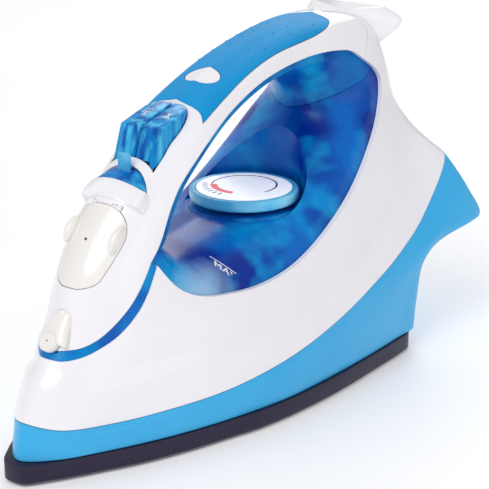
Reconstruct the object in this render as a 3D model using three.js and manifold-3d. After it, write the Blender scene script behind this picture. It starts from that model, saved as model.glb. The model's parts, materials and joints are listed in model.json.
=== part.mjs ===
// A steam iron: millimetres, +Z up, nose towards +X, standing on its soleplate, origin under its middle.
import * as THREE from "three";
import { mergeVertices } from "three/addons/utils/BufferGeometryUtils.js";
import Module from "manifold-3d";

const wasm = await Module();
wasm.setup();

// Driving dimensions of the outer form
const bodyLength = 289;
const bodyWidth = 114;
const bodyHeight = 167;

// Walls and clearances
const shellWall = 2.2;
const tankWall = 1.8;
const linerWall = 1.8;
const gripThickness = 2.4;
const clearance = 0.3;
const overrun = 40;
const mergeDistance = 0.0005;
const curveTension = 0.5;

// Soleplate and what is cast or clamped on it
const soleThickness = 9.7;
const soleBevel = 1.8;
const ventRadius = 1.5;
const chamberDepth = 4.5;
const coverThickness = 2.4;
const elementRadius = 3.6;
const shieldThickness = 1.6;
const shieldPostRadius = 3;
const fuseRadius = 2.4;
const fuseLength = 20;
const fuseY = 13;
const elementSteps = 30;

// Temperature dial and thermostat
const dialRadius = 26;
const dialGap = 0.4;
const dialRimHeight = 5.4;
const dialFaceRadius = 22.8;
const dialFaceThickness = 0.9;
const dialHubRadius = 8;
const dialHubHeight = 2;
const dialFootInset = 1.65;
const dialEdge = 1.1;
const dialPocketRadius = 29.5;
const neckHeight = 1.2;
const thermostatShaftRadius = 2.6;
const thermostatSize = 22;
const thermostatHeight = 5.5;
const wellWall = 1.4;
const tunnelLip = 1.5;
const flarePower = 1.6;
const dialSides = 40;

// Push buttons and their pumps, along one tilted press axis
const buttonWidth = 11.4;
const buttonSplit = 0.6;
const buttonLength = 19.4;
const buttonSkirt = 14;
const buttonRise = 13.4;
const buttonFrontTop = 2.7;
const buttonEdge = 1;
const buttonRound = 7;
const buttonTravel = 5;
const pumpOffset = 6.6;
const pumpForward = 4;
const pumpRadius = 4.4;
const pumpBoreRadius = 3.1;
const pumpTop = 24;
const pumpBottom = 47.8;
const pumpSeatFront = 8;
const pumpSeatRear = 6;
const pistonRadius = 2.7;
const pistonStem = 1.6;
const pistonHeadLength = 5;
const springWire = 0.45;
const springTurns = 5;
const turnSteps = 8;
const wireSides = 5;
const dripForward = 5.7;
const dripRadius = 1.6;
const dripTop = 39.4;
const tubeRadius = 1.8;

// Steam lever on its round seat
const leverRadius = 15;
const leverCrown = 5.5;
const leverThickness = 2.2;
const leverChord = 5;
const tabWidth = 6.6;
const tabThickness = 1.8;
const tabHeight = 9;
const tabInset = 2.7;
const leverPinRadius = 0.9;
const leverPinReach = 9.4;
const leverSwing = 25;
const leverSeatReach = 2.4;
const valveRodRadius = 1.3;
const valveRodLength = 11;
const valveHubRadius = 2.4;
const slotSteps = 3;

// Water filler
const doorDepth = 2.2;
const doorLength = 22.4;
const doorHalfWidth = 14.6;
const doorHingeBack = 16.4;
const doorHingeRise = 0.2;
const doorPinRadius = 0.9;
const doorPinLength = 19;
const doorKnuckleLength = 13;
const doorKnuckleRadius = 2;
const doorBridgeReach = 4.8;
const earLength = 6.6;
const earWidth = 2.4;
const earHeight = 3.4;
const earForward = -3;
const earSide = 12.6;
const earDepth = -1.6;
const neckRadius = 6.6;
const neckBore = 5;
const neckFoot = 20;
const sealThickness = 1.6;
const doorSag = 1.2;

// Spray nozzle
const nozzleTipRadius = 4.4;
const nozzleRimRadius = 3.5;
const nozzleRearRadius = 3;
const nozzleLength = 21;
const nozzleHoleRadius = 0.9;
const hoseRadius = 1.6;
const hoseRoomLength = 6.3;
const hoseLead = 2.5;
const hosePortHeight = 9.5;
const hosePortLead = 2.2;
const hoseSteps = 18;

// Cord inlet at the rear
const glandBallRadius = 8;
const glandSleeveRadius = 4.4;
const glandSleeveLength = 13;
const glandSleeveEndRadius = 3.5;
const glandBore = 2.8;
const terminalWidth = 26;
const terminalHeight = 14;
const terminalDepth = 9;

// Screws
const screwHeadRadius = 3.4;
const screwHeadHeight = 2;
const screwShankRadius = 1.5;
const screwShankLength = 8;
const screwRimHeight = 1.2;
const screwSide = 8;

// Pilot lamp in the handle
const lensLength = 11;
const lensWidth = 18;
const lampRadius = 2.6;
const lampLength = 8;

// Facets
const aroundSteps = 2;
const acrossSteps = 1;
const roundSides = 20;
const smallSides = 8;
const bevelSteps = 2;

// The outer form, as rows from the hem up to the ridge of the handle. Each row runs from the
// middle of the nose along the left side to the middle of the back, in shares of length, width
// and height.
const formRowShares = [
  [ // hem over the soleplate
    [0.486, 0, 0.06], [0.455, 0.105, 0.06], [0.382, 0.211, 0.06], [0.289, 0.316, 0.06],
    [0.185, 0.399, 0.06], [0.064, 0.461, 0.06], [-0.061, 0.478, 0.06], [-0.178, 0.474, 0.06],
    [-0.254, 0.464, 0.06], [-0.307, 0.455, 0.06], [-0.327, 0.408, 0.06], [-0.33, 0.219, 0.06],
    [-0.33, 0, 0.06],
  ],
  [ // heel
    [0.483, 0, 0.084], [0.453, 0.107, 0.081], [0.381, 0.211, 0.078], [0.288, 0.318, 0.079],
    [0.185, 0.402, 0.083], [0.064, 0.463, 0.09], [-0.061, 0.482, 0.102], [-0.178, 0.479, 0.12],
    [-0.261, 0.468, 0.132], [-0.315, 0.456, 0.156], [-0.339, 0.402, 0.18], [-0.344, 0.219, 0.186],
    [-0.344, 0, 0.186],
  ],
  [ // neck under the tail
    [0.479, 0, 0.105], [0.45, 0.109, 0.099], [0.379, 0.212, 0.095], [0.286, 0.318, 0.097],
    [0.184, 0.402, 0.104], [0.064, 0.463, 0.117], [-0.061, 0.481, 0.139], [-0.178, 0.479, 0.168],
    [-0.272, 0.467, 0.204], [-0.337, 0.452, 0.257], [-0.369, 0.395, 0.299], [-0.375, 0.219, 0.305],
    [-0.375, 0, 0.305],
  ],
  [ // underside of the tail
    [0.477, 0, 0.12], [0.448, 0.111, 0.111], [0.378, 0.213, 0.107], [0.285, 0.318, 0.11],
    [0.183, 0.4, 0.12], [0.064, 0.46, 0.138], [-0.061, 0.477, 0.168], [-0.178, 0.475, 0.204],
    [-0.282, 0.467, 0.251], [-0.379, 0.468, 0.314], [-0.479, 0.491, 0.331], [-0.427, 0.298, 0.353],
    [-0.41, 0, 0.359],
  ],
  [ // tip of the tail
    [0.474, 0, 0.132], [0.447, 0.112, 0.12], [0.376, 0.212, 0.116], [0.284, 0.318, 0.12],
    [0.182, 0.397, 0.131], [0.064, 0.455, 0.153], [-0.061, 0.472, 0.189], [-0.178, 0.47, 0.228],
    [-0.289, 0.46, 0.275], [-0.393, 0.474, 0.338], [-0.5, 0.5, 0.345], [-0.441, 0.316, 0.371],
    [-0.424, 0, 0.383],
  ],
  [ // top of the tail
    [0.473, 0, 0.141], [0.446, 0.113, 0.128], [0.376, 0.211, 0.122], [0.283, 0.316, 0.126],
    [0.182, 0.395, 0.136], [0.064, 0.452, 0.16], [-0.061, 0.468, 0.199], [-0.175, 0.463, 0.246],
    [-0.282, 0.45, 0.296], [-0.382, 0.444, 0.377], [-0.472, 0.469, 0.431], [-0.438, 0.289, 0.455],
    [-0.426, 0, 0.461],
  ],
  [ // seam between skirt and body
    [0.471, 0, 0.15], [0.445, 0.114, 0.135], [0.375, 0.211, 0.128], [0.282, 0.314, 0.132],
    [0.182, 0.393, 0.141], [0.064, 0.449, 0.168], [-0.061, 0.465, 0.21], [-0.171, 0.456, 0.26],
    [-0.265, 0.439, 0.311], [-0.358, 0.416, 0.392], [-0.436, 0.386, 0.551], [-0.426, 0.228, 0.527],
    [-0.422, 0, 0.518],
  ],
  [ // crease along the body
    [0.438, 0, 0.249], [0.413, 0.11, 0.24], [0.355, 0.202, 0.228], [0.265, 0.289, 0.234],
    [0.175, 0.36, 0.243], [0.064, 0.411, 0.263], [-0.054, 0.432, 0.305], [-0.157, 0.421, 0.365],
    [-0.247, 0.399, 0.431], [-0.334, 0.377, 0.503], [-0.41, 0.351, 0.593], [-0.405, 0.193, 0.605],
    [-0.403, 0, 0.608],
  ],
  [ // low flank
    [0.396, 0, 0.359], [0.379, 0.096, 0.359], [0.334, 0.184, 0.359], [0.265, 0.254, 0.359],
    [0.182, 0.316, 0.365], [0.085, 0.36, 0.38], [-0.019, 0.386, 0.413], [-0.123, 0.386, 0.479],
    [-0.22, 0.368, 0.551], [-0.31, 0.338, 0.605], [-0.388, 0.281, 0.653], [-0.391, 0.149, 0.665],
    [-0.391, 0, 0.668],
  ],
  [ // middle flank
    [0.353, 0, 0.509], [0.341, 0.088, 0.509], [0.306, 0.167, 0.509], [0.258, 0.215, 0.509],
    [0.189, 0.254, 0.521], [0.099, 0.289, 0.536], [0.009, 0.316, 0.563], [-0.081, 0.333, 0.599],
    [-0.178, 0.333, 0.653], [-0.275, 0.307, 0.707], [-0.362, 0.237, 0.731], [-0.382, 0.123, 0.74],
    [-0.382, 0, 0.743],
  ],
  [ // high flank
    [0.282, 0, 0.659], [0.272, 0.079, 0.659], [0.244, 0.145, 0.659], [0.209, 0.18, 0.662],
    [0.161, 0.206, 0.677], [0.092, 0.228, 0.701], [0.016, 0.25, 0.725], [-0.061, 0.263, 0.754],
    [-0.151, 0.272, 0.79], [-0.245, 0.262, 0.82], [-0.343, 0.22, 0.838], [-0.371, 0.11, 0.844],
    [-0.369, 0, 0.844],
  ],
  [ // side of the handle
    [0.213, 0, 0.749], [0.206, 0.07, 0.751], [0.189, 0.123, 0.754], [0.164, 0.158, 0.76],
    [0.126, 0.175, 0.784], [0.071, 0.18, 0.82], [0.009, 0.18, 0.862], [-0.061, 0.18, 0.892],
    [-0.137, 0.184, 0.916], [-0.225, 0.2, 0.931], [-0.322, 0.198, 0.924], [-0.355, 0.1, 0.92],
    [-0.355, 0, 0.922],
  ],
  [ // shoulder of the handle
    [0.211, 0, 0.752], [0.204, 0.053, 0.76], [0.187, 0.092, 0.775], [0.163, 0.118, 0.793],
    [0.126, 0.136, 0.829], [0.071, 0.136, 0.871], [0.009, 0.136, 0.91], [-0.061, 0.136, 0.943],
    [-0.137, 0.14, 0.967], [-0.22, 0.148, 0.979], [-0.306, 0.145, 0.974], [-0.345, 0.078, 0.962],
    [-0.353, 0, 0.958],
  ],
  [ // ridge of the handle
    [0.209, 0, 0.754], [0.202, 0, 0.763], [0.185, 0, 0.784], [0.161, 0, 0.811], [0.126, 0, 0.853],
    [0.071, 0, 0.898], [0.009, 0, 0.937], [-0.061, 0, 0.97], [-0.137, 0, 0.994], [-0.22, 0, 1],
    [-0.296, 0, 1], [-0.337, 0, 0.994], [-0.348, 0, 0.982],
  ],
];
const seamSteps = 6;

// Side outlines, in shares of length and height
const bodyTopShares = [
  [0.419, 0.296], [0.412, 0.293], [0.394, 0.299], [0.369, 0.316], [0.339, 0.344], [0.305, 0.395],
  [0.285, 0.44],
];
const capEdgeShares = [
  [0.412, 0.316], [0.404, 0.318], [0.39, 0.323], [0.365, 0.343], [0.335, 0.383], [0.31, 0.427],
  [0.29, 0.472], [0.275, 0.51],
];
const lowerRingShares = [
  [0.265, 0.499], [0.25, 0.457], [0.236, 0.429], [0.213, 0.404], [0.184, 0.389], [0.15, 0.382],
  [0.09, 0.378], [0.022, 0.394], [-0.029, 0.422], [-0.085, 0.466], [-0.148, 0.528], [-0.202, 0.598],
  [-0.246, 0.667], [-0.281, 0.726], [-0.297, 0.762], [-0.305, 0.807], [-0.293, 0.84], [-0.264, 0.877],
];
const upperRingShares = [
  [-0.264, 0.877], [-0.239, 0.905], [-0.202, 0.917], [-0.155, 0.919], [-0.113, 0.914], [-0.059, 0.901],
  [-0.006, 0.88], [0.046, 0.847], [0.096, 0.804], [0.145, 0.749], [0.196, 0.678], [0.224, 0.622],
  [0.254, 0.549], [0.275, 0.51],
];
const tunnelShares = [
  [0.205, 0.515], [0.199, 0.574], [0.182, 0.621], [0.14, 0.686], [0.096, 0.75], [0.046, 0.799],
  [-0.005, 0.832], [-0.05, 0.854], [-0.099, 0.862], [-0.14, 0.844], [-0.166, 0.802], [-0.175, 0.754],
  [-0.166, 0.707], [-0.137, 0.659], [-0.095, 0.608], [-0.05, 0.557], [-0.005, 0.527], [0.064, 0.506],
  [0.133, 0.497], [0.189, 0.497],
];
const rearSeamShares = [[-0.264, 0.877], [-0.279, 0.91], [-0.296, 0.946], [-0.31, 1.1]];
const rearCoverShares = [
  [-0.31, 1.1], [-0.341, 0.898], [-0.356, 0.808], [-0.363, 0.731], [-0.37, 0.671], [-0.388, 0.623],
  [-0.413, 0.581], [-0.436, 0.551],
];
const gripShares = [
  [0.126, 0.816], [0.118, 0.842], [0.109, 0.91], [0.109, 1.1], [-0.246, 1.1], [-0.246, 1.002],
  [-0.236, 0.992], [-0.21, 0.98], [-0.182, 0.97], [-0.158, 0.963], [-0.129, 0.957], [-0.079, 0.946],
  [-0.027, 0.926], [0.026, 0.896], [0.068, 0.865], [0.102, 0.838],
];
const soleShares = [
  [0.5, 0], [0.497, 0.044], [0.465, 0.105], [0.4, 0.197], [0.327, 0.289], [0.247, 0.364],
  [0.192, 0.404], [0.133, 0.447], [0.047, 0.478], [-0.061, 0.491], [-0.185, 0.482], [-0.254, 0.474],
  [-0.289, 0.461], [-0.304, 0.421], [-0.311, 0.333], [-0.313, 0.175],
];
const tankFloorShares = [[0.43, 0.131], [-0.144, 0.131], [-0.247, 0.251], [-0.324, 0.359]];
const tankRearShares = [[-0.344, 0.455], [-0.344, 0.599], [-0.337, 0.749], [-0.324, 0.866], [-0.175, 0.741]];
const tankFrontShares = [[0.315, 0.47], [0.36, 0.395], [0.388, 0.341], [0.41, 0.329], [0.43, 0.335]];
const finRingShares = [ // height, front, rear, half width
  [0.89, -0.284, -0.345, 0.17], [0.92, -0.28, -0.357, 0.215], [0.945, -0.276, -0.372, 0.242],
  [0.966, -0.27, -0.376, 0.242], [1, -0.262, -0.36, 0.18],
];
const finOutlineShares = [ // along and across
  [0, 0.12], [0.3, 0.42], [0.62, 0.74], [0.9, 0.98], [0.98, 1], [1, 0.9], [0.985, 0.5], [0.97, 0.15],
];
const doorOutlineShares = [ // down the slope and across
  [1, 0.15], [0.985, 0.3], [0.87, 0.6], [0.74, 0.77], [0.5, 0.87], [0.25, 0.94], [-0.18, 1],
  [-0.38, 0.95], [-0.56, 0.8], [-0.68, 0.5],
];
const ventShares = [
  [0.27, 0], [0.2, 0], [0.12, 0], [0.215, 0.075], [0.15, 0.115], [0.085, 0.15], [0.02, 0.17],
  [-0.045, 0.18], [-0.11, 0.18], [0.05, 0.07], [-0.02, 0.08], [-0.09, 0.08],
];
const hoseShares = [
  [0.27, 0.061, 0.569], [0.285, 0.077, 0.542], [0.311, 0.082, 0.505], [0.33, 0.07, 0.465],
  [0.346, 0.035, 0.438], [0.354, 0.009, 0.43],
];
const leverDomeShares = [0, 0.2, 0.4, 0.6, 0.8, 1];
const tunnelMiddleShares = [0.02, 0.68];
const flareShares = [0, 0.35, 0.62, 0.83, 0.95, 1, 1.5];

// Places along the length and up the height, and slopes of the form there
const dialShare = -0.0571;
const platformShare = 0.497;
const lensShare = 0.0502;
const fuseShare = 0.1038;
const shieldShare = 0.12;
const frontPostShare = 0.2076;
const pressShares = [0.1713, 0.7844];
const pressSlopeShare = 0.6045;
const leverShares = [0.2664, 0.6617];
const leverSlopeShare = 1.3348;
const doorShares = [0.3204, 0.5695];
const doorSlopeShare = 1.807;
const nozzleShares = [0.4118, 0.3174];
const nozzleSlopeShare = 2.2705;
const glandShares = [-0.391, 0.6707];
const screwShares = [-0.379, 0.7784];
const elementOutlineShare = 0.78;
const coverOutlineShare = 0.62;
const chamberOutlineShare = 0.56;
const shieldOutlineShare = 0.84;
const shieldPostShares = [[-0.235, 0.13], [-0.235, -0.13]];
const elementEndSteps = 13;
const elementNoseShare = 0.36;

// Places worked out from the shares
const slopeOf = (share) => Math.atan2(share * bodyHeight, bodyLength);
const dialAxisX = dialShare * bodyLength;
const platformHeight = platformShare * bodyHeight;
const dialTop = platformHeight + neckHeight + dialGap + dialHubHeight + dialRimHeight;
const lensX = lensShare * bodyLength;
const shieldHeight = shieldShare * bodyHeight;
const pressTilt = slopeOf(pressSlopeShare);

// Placing and smoothing points
const sidePoint = ([x, z]) => new THREE.Vector2(x * bodyLength, z * bodyHeight);
const planPoint = ([x, y]) => new THREE.Vector2(x * bodyLength, y * bodyWidth);
const formPoint = ([x, y, z]) => new THREE.Vector3(x * bodyLength, y * bodyWidth, z * bodyHeight);

function mirroredOutline(half) {
  const other = [...half].reverse().filter((p) => p.y !== 0);
  return [...half, ...other.map((p) => new THREE.Vector2(p.x, -p.y))];
}

// An outline moved outwards by a distance, or inwards where it is negative
function grown(points, distance) {
  const turn = THREE.ShapeUtils.area(points) > 0 ? 1 : -1;
  return points.map((p, i) => {
    const before = points[(i + points.length - 1) % points.length];
    const after = points[(i + 1) % points.length];
    const inward = p.clone().sub(before).normalize();
    const outward = after.clone().sub(p).normalize();
    const along = inward.add(outward).normalize();
    return new THREE.Vector2(p.x + turn * distance * along.y, p.y - turn * distance * along.x);
  });
}

// Solids
function solidOf(geometry) {
  const bare = new THREE.BufferGeometry();
  bare.setAttribute("position", geometry.getAttribute("position"));
  if (geometry.index) bare.setIndex(geometry.index);
  const merged = mergeVertices(bare, mergeDistance);
  const corners = merged.index.array;
  const kept = [];
  for (let i = 0; i < corners.length; i += 3) {
    const [a, b, c] = corners.slice(i, i + 3);
    if (a !== b && b !== c && c !== a) kept.push(a, b, c);
  }
  return new wasm.Manifold(new wasm.Mesh({
    numProp: 3,
    vertProperties: merged.attributes.position.array,
    triVerts: new Uint32Array(kept),
  }));
}

function geometryOf(solid) {
  const mesh = solid.getMesh();
  const geometry = new THREE.BufferGeometry();
  const places = new Float32Array(mesh.numVert * 3);
  for (let i = 0; i < mesh.numVert; i += 1) {
    places.set(mesh.vertProperties.subarray(i * mesh.numProp, i * mesh.numProp + 3), i * 3);
  }
  geometry.setAttribute("position", new THREE.BufferAttribute(places, 3));
  geometry.setIndex(new THREE.BufferAttribute(mesh.triVerts, 1));
  const flat = geometry.toNonIndexed();
  flat.computeVertexNormals();
  return flat;
}

function loftedSolid(rings, openTop = false) {
  const around = rings[0].length;
  const points = rings.flat();
  const faces = [];
  for (let i = 0; i + 1 < rings.length; i += 1) {
    for (let j = 0; j < around; j += 1) {
      const next = (j + 1) % around;
      const [a, b] = [i * around + j, i * around + next];
      faces.push(a, b, b + around, a, b + around, a + around);
    }
  }
  const cap = (ring, first, up) => {
    const middle = ring.reduce((sum, p) => sum.add(p), new THREE.Vector3());
    points.push(middle.divideScalar(around));
    for (let j = 0; j < around; j += 1) {
      const [a, b] = [first + j, first + ((j + 1) % around)];
      faces.push(...(up ? [a, b] : [b, a]), points.length - 1);
    }
  };
  cap(rings[0], 0, false);
  if (!openTop) cap(rings.at(-1), (rings.length - 1) * around, true);
  const geometry = new THREE.BufferGeometry().setFromPoints(points);
  geometry.setIndex(faces);
  return solidOf(geometry);
}

// A side outline drawn out across the whole width
function sidePrism(points, low = -bodyWidth, high = bodyWidth) {
  const shape = new THREE.Shape(points);
  const geometry = new THREE.ExtrudeGeometry(shape, { depth: high - low, bevelEnabled: false });
  geometry.rotateX(Math.PI / 2);
  geometry.translate(0, high, 0);
  return solidOf(geometry);
}

function planPrism(points, low, high) {
  const shape = new THREE.Shape(points);
  const geometry = new THREE.ExtrudeGeometry(shape, { depth: high - low, bevelEnabled: false });
  geometry.translate(0, 0, low);
  return solidOf(geometry);
}

// A solid turned about +Z from a closed profile of radius and height
function turned(profile, sides = roundSides) {
  const points = profile.map(([radius, height]) => new THREE.Vector2(radius, height));
  const geometry = new THREE.LatheGeometry(points, sides);
  geometry.rotateX(Math.PI / 2);
  return solidOf(geometry);
}

function rod(radius, low, high, sides = roundSides) {
  return turned([[0, low], [radius, low], [radius, high], [0, high]], sides);
}

function box(low, high) {
  const size = high.clone().sub(low);
  const middle = low.clone().add(high).multiplyScalar(1 / 2);
  const geometry = new THREE.BoxGeometry(size.x, size.y, size.z);
  geometry.translate(middle.x, middle.y, middle.z);
  return solidOf(geometry);
}

function tubeAlong(points, radius, sides, steps) {
  const curve = new THREE.CatmullRomCurve3(points, false, "centripetal");
  const ring = Array.from({ length: sides }, (_, i) => {
    const angle = (2 * Math.PI * i) / sides;
    return new THREE.Vector2(radius * Math.cos(angle), radius * Math.sin(angle));
  });
  const geometry = new THREE.ExtrudeGeometry(new THREE.Shape(ring), { steps, extrudePath: curve });
  return solidOf(geometry);
}

// A frame that is turned about Y and carries its own pieces
function tiltedFrame(shares, tilt) {
  const { x, y } = sidePoint(shares);
  return new THREE.Matrix4().makeRotationY(tilt).setPosition(x, 0, y);
}

function placed(solid, matrix) {
  const geometry = geometryOf(solid);
  geometry.applyMatrix4(matrix);
  return solidOf(geometry);
}

const moved = (solid, x, y, z) => placed(solid, new THREE.Matrix4().makeTranslation(x, y, z));

function joined(first, ...others) {
  return others.reduce((sum, other) => sum.add(other), first);
}

function without(first, ...cuts) {
  return cuts.reduce((rest, cut) => rest.subtract(cut), first);
}

// The outer form and its offsets
function formRings() {
  const rows = formRowShares.map((row) => {
    const near = row.map(formPoint);
    const far = near.slice(1, -1).reverse().map((p) => new THREE.Vector3(p.x, -p.y, p.z));
    const curve = new THREE.CatmullRomCurve3([...near, ...far], true, "catmullrom", curveTension);
    const count = (near.length + far.length) * aroundSteps;
    return Array.from({ length: count }, (_, i) => curve.getPoint(i / count));
  });
  const count = (rows.length - 1) * acrossSteps;
  const columns = rows[0].map((_, j) => {
    const points = rows.map((row) => row[j]);
    return new THREE.CatmullRomCurve3(points, false, "catmullrom", curveTension);
  });
  return Array.from({ length: count + 1 }, (_, i) => columns.map((curve) => curve.getPoint(i / count)));
}

const outerRings = formRings();

function formNormals(rings) {
  const around = rings[0].length;
  const normals = [];
  rings.forEach((ring, i) => {
    normals.push(ring.map((_, j) => {
      const along = ring[(j + 1) % around].clone().sub(ring[(j + around - 1) % around]);
      const up = rings[Math.min(i + 1, rings.length - 1)][j].clone().sub(rings[Math.max(i - 1, 0)][j]);
      const normal = along.cross(up);
      if (i === 0) normal.z = 0;
      if (j === 0 || 2 * j === around || i === rings.length - 1) normal.y = 0;
      return normal.length() > mergeDistance ? normal.normalize() : normals[i - 1][j].clone();
    }));
  });
  return normals;
}

const outerNormals = formNormals(outerRings);

function formAt(depth) {
  const rings = outerRings.map((ring, i) => {
    return ring.map((p, j) => p.clone().addScaledVector(outerNormals[i][j], -depth));
  });
  const below = rings[0].map((p) => new THREE.Vector3(p.x, p.y, p.z - overrun));
  return loftedSolid([below, ...rings], true);
}

const outerForm = formAt(0);
const wallForm = formAt(shellWall);
const innerDepth = shellWall + clearance;
const innerForm = formAt(innerDepth);
const shell = outerForm.subtract(wallForm);

// Regions in side view
const farFront = bodyLength / 2 + overrun;
const farRear = -farFront;
const farTop = bodyHeight + overrun;
const hemHeight = soleThickness + clearance;

function belowSeam(rise) {
  const ring = outerRings[seamSteps * acrossSteps];
  const half = ring.slice(0, ring.length / 2 + 1);
  const corner = half.reduce((best, p, i) => (p.x < half[best].x ? i : best), 0);
  const line = half.slice(0, corner + 1).map((p) => new THREE.Vector2(p.x, p.z + rise));
  return sidePrism([
    new THREE.Vector2(farFront, hemHeight),
    new THREE.Vector2(farFront, line[0].y),
    ...line,
    new THREE.Vector2(farRear, line.at(-1).y),
    new THREE.Vector2(farRear, hemHeight),
  ]);
}

const shifted = (points, x, z) => points.map((p) => new THREE.Vector2(p.x + x, p.y + z));
const lowerRing = lowerRingShares.map(sidePoint);
const upperRing = upperRingShares.map(sidePoint);
const rearSeam = rearSeamShares.map(sidePoint);
const bodyTop = bodyTopShares.map(sidePoint);
const capEdge = capEdgeShares.map(sidePoint);
const rearEdge = rearCoverShares.map(sidePoint);
const tunnelOutline = tunnelShares.map(sidePoint);
const gripOutline = gripShares.map(sidePoint);
const apertureOutline = [...lowerRing, ...upperRing.slice(1)];

// Finger tunnel, which flares out on both sides until it nearly fills the aperture
const tunnelMiddle = sidePoint(tunnelMiddleShares);
const formFace = new THREE.Mesh(geometryOf(outerForm), new THREE.MeshBasicMaterial({ side: THREE.DoubleSide }));

function reachTo(outline, towards) {
  const reaches = outline.map((p, i) => {
    const edge = outline[(i + 1) % outline.length].clone().sub(p);
    const offset = p.clone().sub(tunnelMiddle);
    const turn = towards.cross(edge);
    const share = offset.cross(towards) / turn;
    return share >= 0 && share <= 1 ? offset.cross(edge) / turn : 0;
  });
  return Math.max(...reaches);
}

function halfWidthAt(place) {
  const start = new THREE.Vector3(place.x, bodyWidth, place.y);
  const [first] = new THREE.Raycaster(start, new THREE.Vector3(0, -1, 0)).intersectObject(formFace);
  return first.point.y;
}

const opening = grown(apertureOutline, -tunnelLip);
const tunnelSpokes = tunnelOutline.map((p) => {
  const towards = p.clone().sub(tunnelMiddle).normalize();
  const reach = reachTo(opening, towards);
  const skin = halfWidthAt(tunnelMiddle.clone().addScaledVector(towards, reach));
  return { towards, waist: p.distanceTo(tunnelMiddle), reach, skin };
});

function tunnelSolid(growth) {
  const half = flareShares.map((share) => {
    const open = share < 1 ? 1 - (1 - share ** flarePower) ** (1 / flarePower) : 1;
    return tunnelSpokes.map(({ towards, waist, reach, skin }) => {
      const p = tunnelMiddle.clone().addScaledVector(towards, waist + (reach - waist) * open + growth);
      return new THREE.Vector3(p.x, share * skin, p.y);
    });
  });
  const far = half.slice(1).map((ring) => ring.map((p) => new THREE.Vector3(p.x, -p.y, p.z)));
  return loftedSolid([...half.reverse(), ...far]);
}

const tunnel = tunnelSolid(0);

const aboveBody = sidePrism([
  new THREE.Vector2(farFront, bodyTop[0].y),
  ...bodyTop,
  ...lowerRing,
  ...shifted(rearSeam.slice(1), -clearance, 0),
  new THREE.Vector2(farFront, farTop),
]);
const handleSide = sidePrism([
  new THREE.Vector2(farFront, capEdge[0].y),
  ...capEdge,
  ...[...upperRing].reverse().slice(1),
  ...rearSeam.slice(1),
  new THREE.Vector2(farFront, farTop),
]);
const rearSide = (shift) => sidePrism([
  ...shifted(rearEdge, shift, 0),
  new THREE.Vector2(farRear, rearEdge.at(-1).y),
  new THREE.Vector2(farRear, farTop),
]);

// Frames of the tilted pieces
const pressFrame = tiltedFrame(pressShares, -pressTilt);
const leverTilt = slopeOf(leverSlopeShare);
const leverFrame = tiltedFrame(leverShares, leverTilt);
const pressPoint = (forward, up) => new THREE.Vector3(forward, 0, up).applyMatrix4(pressFrame);

// Fin at the top of the heel
function finSolid(growth) {
  const rings = finRingShares.map(([height, front, rear, halfWidth]) => {
    const half = finOutlineShares.map(([along, across]) => new THREE.Vector2(
      (front + (rear - front) * along) * bodyLength,
      across * halfWidth * bodyWidth,
    ));
    const outline = grown(mirroredOutline(half), growth);
    return outline.map((p) => new THREE.Vector3(p.x, p.y, height * bodyHeight));
  });
  rings[0].forEach((p) => {
    p.z -= growth;
  });
  rings.at(-1).forEach((p) => {
    p.z += growth;
  });
  return loftedSolid(rings);
}

const fin = finSolid(0);
const finRoom = finSolid(clearance);

// Water filler door
const doorFrame = tiltedFrame(doorShares, slopeOf(doorSlopeShare));
const doorOutline = mirroredOutline(doorOutlineShares.map(([along, across]) => (
  new THREE.Vector2(along * doorLength, across * doorHalfWidth)
)));

function doorPrism(growth) {
  const points = grown(doorOutline, growth);
  return placed(planPrism(points, -overrun / 4, overrun / 4), doorFrame);
}

function alongY(radius, halfLength, sides = smallSides) {
  const geometry = geometryOf(rod(radius, -halfLength, halfLength, sides));
  geometry.rotateX(Math.PI / 2);
  return solidOf(geometry);
}

const hingePlace = new THREE.Matrix4().makeTranslation(-doorHingeBack, 0, doorHingeRise);
hingePlace.premultiply(doorFrame);

function ears(growth) {
  const halves = [1, -1].map((hand) => {
    const geometry = new THREE.SphereGeometry(1, smallSides, smallSides);
    geometry.scale(earLength + growth, earWidth + growth, earHeight + growth);
    geometry.translate(earForward, hand * earSide, earDepth);
    geometry.applyMatrix4(doorFrame);
    return solidOf(geometry);
  });
  return halves[0].add(halves[1]);
}

function fillerDoor() {
  const panel = outerForm.subtract(formAt(doorDepth)).intersect(doorPrism(0));
  const knuckle = placed(alongY(doorKnuckleRadius, doorKnuckleLength / 2), hingePlace);
  const room = placed(alongY(doorKnuckleRadius + clearance, doorPinLength), hingePlace);
  const bore = placed(alongY(doorPinRadius + clearance, doorPinLength), hingePlace);
  const lips = ears(0).intersect(doorPrism(-clearance));
  return without(joined(panel.subtract(room), knuckle, bridge(), lips), bore);
}

// The web that joins the knuckle to the door's panel
function bridge() {
  const low = new THREE.Vector3(doorKnuckleRadius / 2, -doorKnuckleLength / 2, -doorDepth / 2);
  const high = new THREE.Vector3(doorBridgeReach, doorKnuckleLength / 2, doorDepth / 2);
  return placed(box(low, high), hingePlace).intersect(outerForm);
}

// Spray nozzle
const nozzleFrame = tiltedFrame(nozzleShares, Math.PI / 2 + slopeOf(nozzleSlopeShare));

// The room that the nozzle and the end of its hose take up, with a gap around them
function nozzleRoom(gap) {
  const tip = nozzleTipRadius + gap;
  const rear = nozzleRearRadius + gap;
  const cone = turned([[0, -nozzleLength - gap], [rear, -nozzleLength - gap], [tip, gap], [0, gap]]);
  return placed(cone.add(rod(hoseRadius + gap, -nozzleLength - hoseRoomLength, 0, smallSides)), nozzleFrame);
}

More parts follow.
